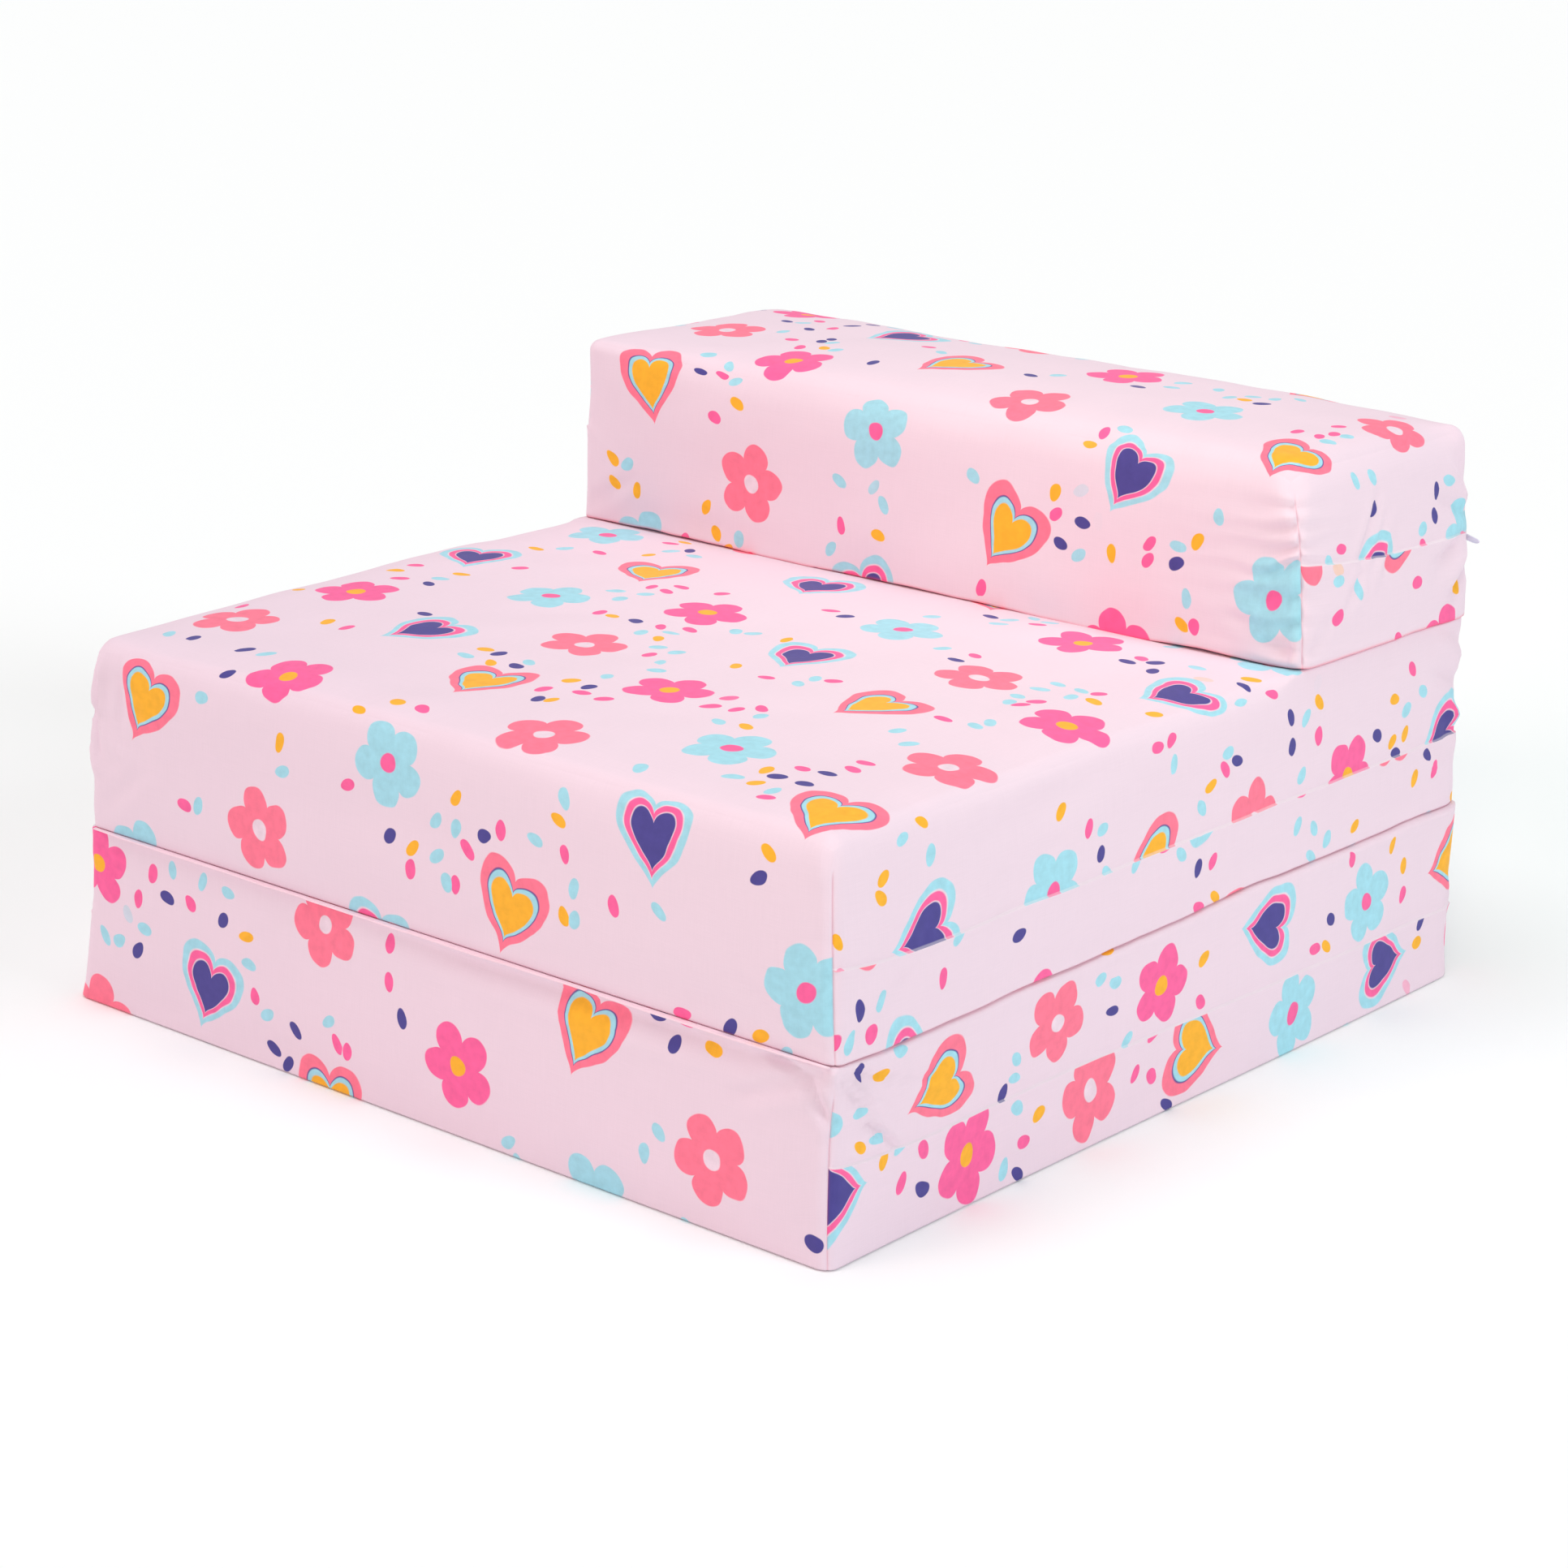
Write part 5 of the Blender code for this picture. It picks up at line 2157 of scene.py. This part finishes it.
@dataclass
class Studio:
    """Plain pale floor, soft light and the camera."""

    azimuth: float = math.radians(39.21)
    elevation: float = math.radians(17.18)
    roll: float = math.radians(1.44)
    distance: float = 2.3067
    lens: float = 81.57
    target: Point = (0.0, -0.005, 0.210)
    shift_right: float = -0.0033
    shift_up: float = -0.0664
    floor_reach: float = 30.0
    floor_level: float = -0.0005
    sky_strength: float = 0.42

    def camera(self) -> None:
        """Set up the camera."""
        back = direction(self.azimuth, self.elevation)
        right = Vector((math.cos(self.azimuth), math.sin(self.azimuth), 0.0))
        up = back.cross(right)
        c, s = math.cos(self.roll), math.sin(self.roll)
        right, up = right * c + up * s, up * c - right * s
        data = bpy.data.cameras.new("Camera")
        data.sensor_fit = "HORIZONTAL"
        data.sensor_width = 36.0
        data.lens = self.lens
        data.clip_end = 60.0
        obj = new_object("Camera", data)
        place = Vector(self.target) + right * self.shift_right + up * self.shift_up + back * self.distance
        turn = Matrix((right, up, back)).transposed()
        obj.matrix_world = Matrix.Translation(place) @ turn.to_4x4()
        bpy.context.scene.camera = obj

    def floor(self, paint: Material) -> None:
        """Lay the floor.

        Args:
            paint: its material.
        """
        mesh = bpy.data.meshes.new("Floor")
        corners = [
            (x * self.floor_reach, y * self.floor_reach, self.floor_level)
            for x, y in ((-1, -1), (1, -1), (1, 1), (-1, 1))
        ]
        mesh.from_pydata(corners, [], [(0, 1, 2, 3)])
        link_mesh("Floor", mesh, paint)

    @staticmethod
    def lamp(name: str, kind: str, away: Vector, strength: float, colour: Colour,
             target: Point = (0.0, 0.0, 0.0), **settings: float) -> None:
        """Set a lamp.

        Args:
            name: name of the lamp.
            kind: Blender's name for its kind.
            away: where it stands from its target.
            strength: its strength in watts, for a sun in watts per square metre.
            colour: its colour.
            target: where it points.
            settings: its angles in radians, and other settings of its kind.
        """
        data = bpy.data.lights.new(name, kind)
        data.energy = strength
        data.color = colour
        for setting, value in settings.items():
            setattr(data, setting, value)
        obj = new_object(name, data)
        obj.location = Vector(target) + away
        obj.rotation_euler = away.to_track_quat("Z", "Y").to_euler()

    def lights(self) -> None:
        """Light the studio: wide suns for the whole floor, and a soft pool on the bolster."""
        world = bpy.data.worlds.new("Studio")
        bpy.context.scene.world = world
        world.use_nodes = True
        sky = world.node_tree.nodes["Background"]
        sky.inputs["Color"].default_value = (1.0, 1.0, 1.0, 1.0)
        sky.inputs["Strength"].default_value = self.sky_strength
        for name, azimuth, elevation, strength, spread, colour in (
            ("Key", -25.0, 22.0, 0.82, 30.0, (1.0, 0.62, 0.62)),
            ("Top", -20.0, 80.0, 1.36, 50.0, (1.0, 1.0, 1.0)),
            ("Right", 98.0, 22.0, 1.00, 24.0, (0.94, 0.96, 1.0)),
        ):
            away = direction(math.radians(azimuth), math.radians(elevation))
            self.lamp(name, "SUN", away, strength, colour, angle=math.radians(spread))
        self.lamp(
            "Pool", "SPOT", Vector((0.77, -1.25, 0.97)), 34.0, (1.0, 0.96, 0.70),
            target=(0.13, 0.05, 0.33), spot_size=math.radians(26.0), spot_blend=1.0,
            shadow_soft_size=0.25,
        )

    def build(self, finishes: Finishes) -> None:
        """Set up the floor, the lights and the camera.

        Args:
            finishes: the materials.
        """
        self.floor(finishes.floor)
        self.lights()
        self.camera()
        bpy.context.scene.view_settings.view_transform = "Standard"


BASE = Block(
    name="base", depth=BLOCK_DEPTH, underside=0.0, height=0.120, crown=0.0, bare_depth=0.0,
    seam_share=0.41, seam_rise=0.009, print_shift=(0.031, 0.012), top_radius=0.0045,
    ends=(Lean(0.024, 0.008), Lean(0.007, 0.009)), rear_spread=0.011, soft_side=0.0036,
    folds=right_folds(
        (-0.312, 0.082, -0.276, 0.048, 0.0022, -0.0026),
        (-0.334, 0.117, -0.308, 0.088, 0.0028, -0.0024),
        (-0.332, 0.118, -0.246, 0.088, 0.0030, -0.0018),
        (-0.322, 0.108, -0.292, 0.086, 0.0040, 0.0020),
        (0.318, 0.070, 0.330, 0.046, 0.0035, 0.0016),
    ) + front_folds(
        -BLOCK_DEPTH / 2,
        (-0.040, 0.114, 0.286, 0.113, 0.0070, -0.0030),
        (0.250, 0.119, 0.281, 0.111, 0.0034, -0.0036),
        (0.281, 0.111, 0.297, 0.084, 0.0034, -0.0036),
        (0.290, 0.112, 0.235, 0.086, 0.0046, -0.0020),
        (-0.294, 0.114, -0.262, 0.082, 0.0045, -0.0011),
    ) + (Fold((0.2985, -0.3335, 0.117), (0.2985, -0.3335, 0.117), 0.0040, 0.0024),),
)
SEAT = Block(
    name="seat", depth=BLOCK_DEPTH, underside=0.1203, height=0.128, crown=0.004,
    bare_depth=BLOCK_DEPTH - BOLSTER_DEPTH, seam_share=0.38, seam_rise=0.003,
    print_shift=(0.402, 0.577), top_radius=0.015, firm_left_share=0.15, soft_corners=(0.011, 0.006),
    left_sag=0.003, ends=(Lean(0.005, 0.006), Lean(0.008, 0.003)), rear_spread=0.002,
    folds=right_folds(
        (-0.333, 0.006, -0.262, 0.040, 0.0048, -0.0016),
        (0.300, 0.116, 0.332, 0.100, 0.0050, 0.0034),
        (0.292, 0.096, 0.333, 0.082, 0.0046, -0.0034),
        (0.312, 0.066, 0.334, 0.060, 0.0056, 0.0034),
        (-0.210, 0.100, -0.060, 0.112, 0.0090, -0.0012),
        (0.322, 0.072, 0.328, 0.034, 0.0055, 0.0024),
        (0.285, 0.048, 0.318, 0.026, 0.0040, -0.0014),
    ) + front_folds(
        -BLOCK_DEPTH / 2,
        (0.296, 0.006, 0.232, 0.034, 0.0052, -0.0014),
        (-0.294, 0.008, -0.248, 0.046, 0.0050, -0.0012),
        (-0.293, 0.114, -0.290, 0.044, 0.0036, -0.0028),
        (-0.282, 0.120, -0.279, 0.060, 0.0034, -0.0024),
        (-0.271, 0.122, -0.264, 0.074, 0.0036, -0.0018),
        (-0.266, 0.104, -0.240, 0.052, 0.0060, -0.0014),
        (-0.288, 0.070, -0.262, 0.052, 0.0050, 0.0016),
        (-0.300, 0.078, -0.296, 0.070, 0.0070, -0.0030),
        (-0.300, 0.050, -0.288, 0.034, 0.0060, 0.0024),
        (-0.120, 0.060, 0.030, 0.066, 0.0140, -0.0010),
    ),
)
BOLSTER = Block(
    name="bolster", depth=BOLSTER_DEPTH, underside=0.2486, height=0.130, crown=0.005,
    bare_depth=BOLSTER_DEPTH, seam_share=0.43, seam_rise=0.009, print_shift=(0.815, 0.233),
    top_radius=0.024, firm_left_share=0.72, ends=(Lean(0.004, 0.001), Lean(0.006, -0.009)),
    rear_spread=0.001, right_drop=0.003,
    folds=right_folds(
        (-0.012, 0.100, -0.040, 0.050, 0.0040, -0.0024),
        (0.004, 0.086, -0.024, 0.038, 0.0040, 0.0018),
        (-0.032, 0.050, -0.056, 0.030, 0.0034, -0.0018),
        (0.097, 0.047, 0.060, 0.023, 0.0056, 0.0036),
        (0.102, 0.036, 0.074, 0.014, 0.0040, -0.0028),
        (0.096, 0.054, 0.050, 0.040, 0.0044, -0.0024),
        (0.100, 0.078, 0.078, 0.104, 0.0050, 0.0028),
        (0.103, 0.068, 0.060, 0.084, 0.0044, -0.0026),
        (-0.103, 0.006, -0.070, 0.026, 0.0042, -0.0016),
    ) + front_folds(
        -BOLSTER_DEPTH / 2,
        (0.292, 0.002, 0.2965, 0.024, 0.0032, 0.0022),
        (0.297, 0.006, 0.245, 0.030, 0.0046, -0.0018),
        (-0.294, 0.008, -0.252, 0.036, 0.0045, -0.0012),
    ),
    puckers=(SeamPuckers(), SeamPuckers(0.0030, 0.025, 0.0075, 8.3)),
)
BLOCKS = (BASE, SEAT, BOLSTER)
CLOSED_ENDS = (-1, -1, 1)
STRIPS = (
    HingeStrip("front_crease_strip", "front_hinge_strip", ("base", "seat"), edge=-REAR, facing=-1,
               level=0.12015, reach=0.0035, ends=(-0.299, 0.304)),
    HingeStrip("rear_crease_strip", "rear_hinge_strip", ("seat", "bolster"), edge=REAR, facing=1,
               level=0.24845, reach=0.0050, ends=(-0.293, 0.293)),
)


def build_sofa(finishes: Finishes) -> None:
    """Build every piece of the sofa and report it.

    Args:
        finishes: the sofa's materials.
    """
    for block in BLOCKS:
        cover = Cover(block)
        for piece in (cover.build(finishes), cover.foam(finishes)):
            LOG.info("%s: %d faces", piece.name, len(piece.data.polygons))
    for strip in STRIPS:
        LOG.info("%s", strip.build(finishes).name)
    teeth, stitches = tooth_tree(), stitch_tree()
    for block, end in zip(BLOCKS, CLOSED_ENDS):
        Zip(block, end).build(teeth, stitches, finishes)
        LOG.info("%s zip", block.name)


def main() -> None:
    """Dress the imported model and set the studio."""
    logging.basicConfig(level=logging.INFO, format="%(name)s: %(message)s")
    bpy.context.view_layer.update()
    finishes = Finishes()
    build_sofa(finishes)
    Studio().build(finishes)


if __name__ == "__main__":
    main()
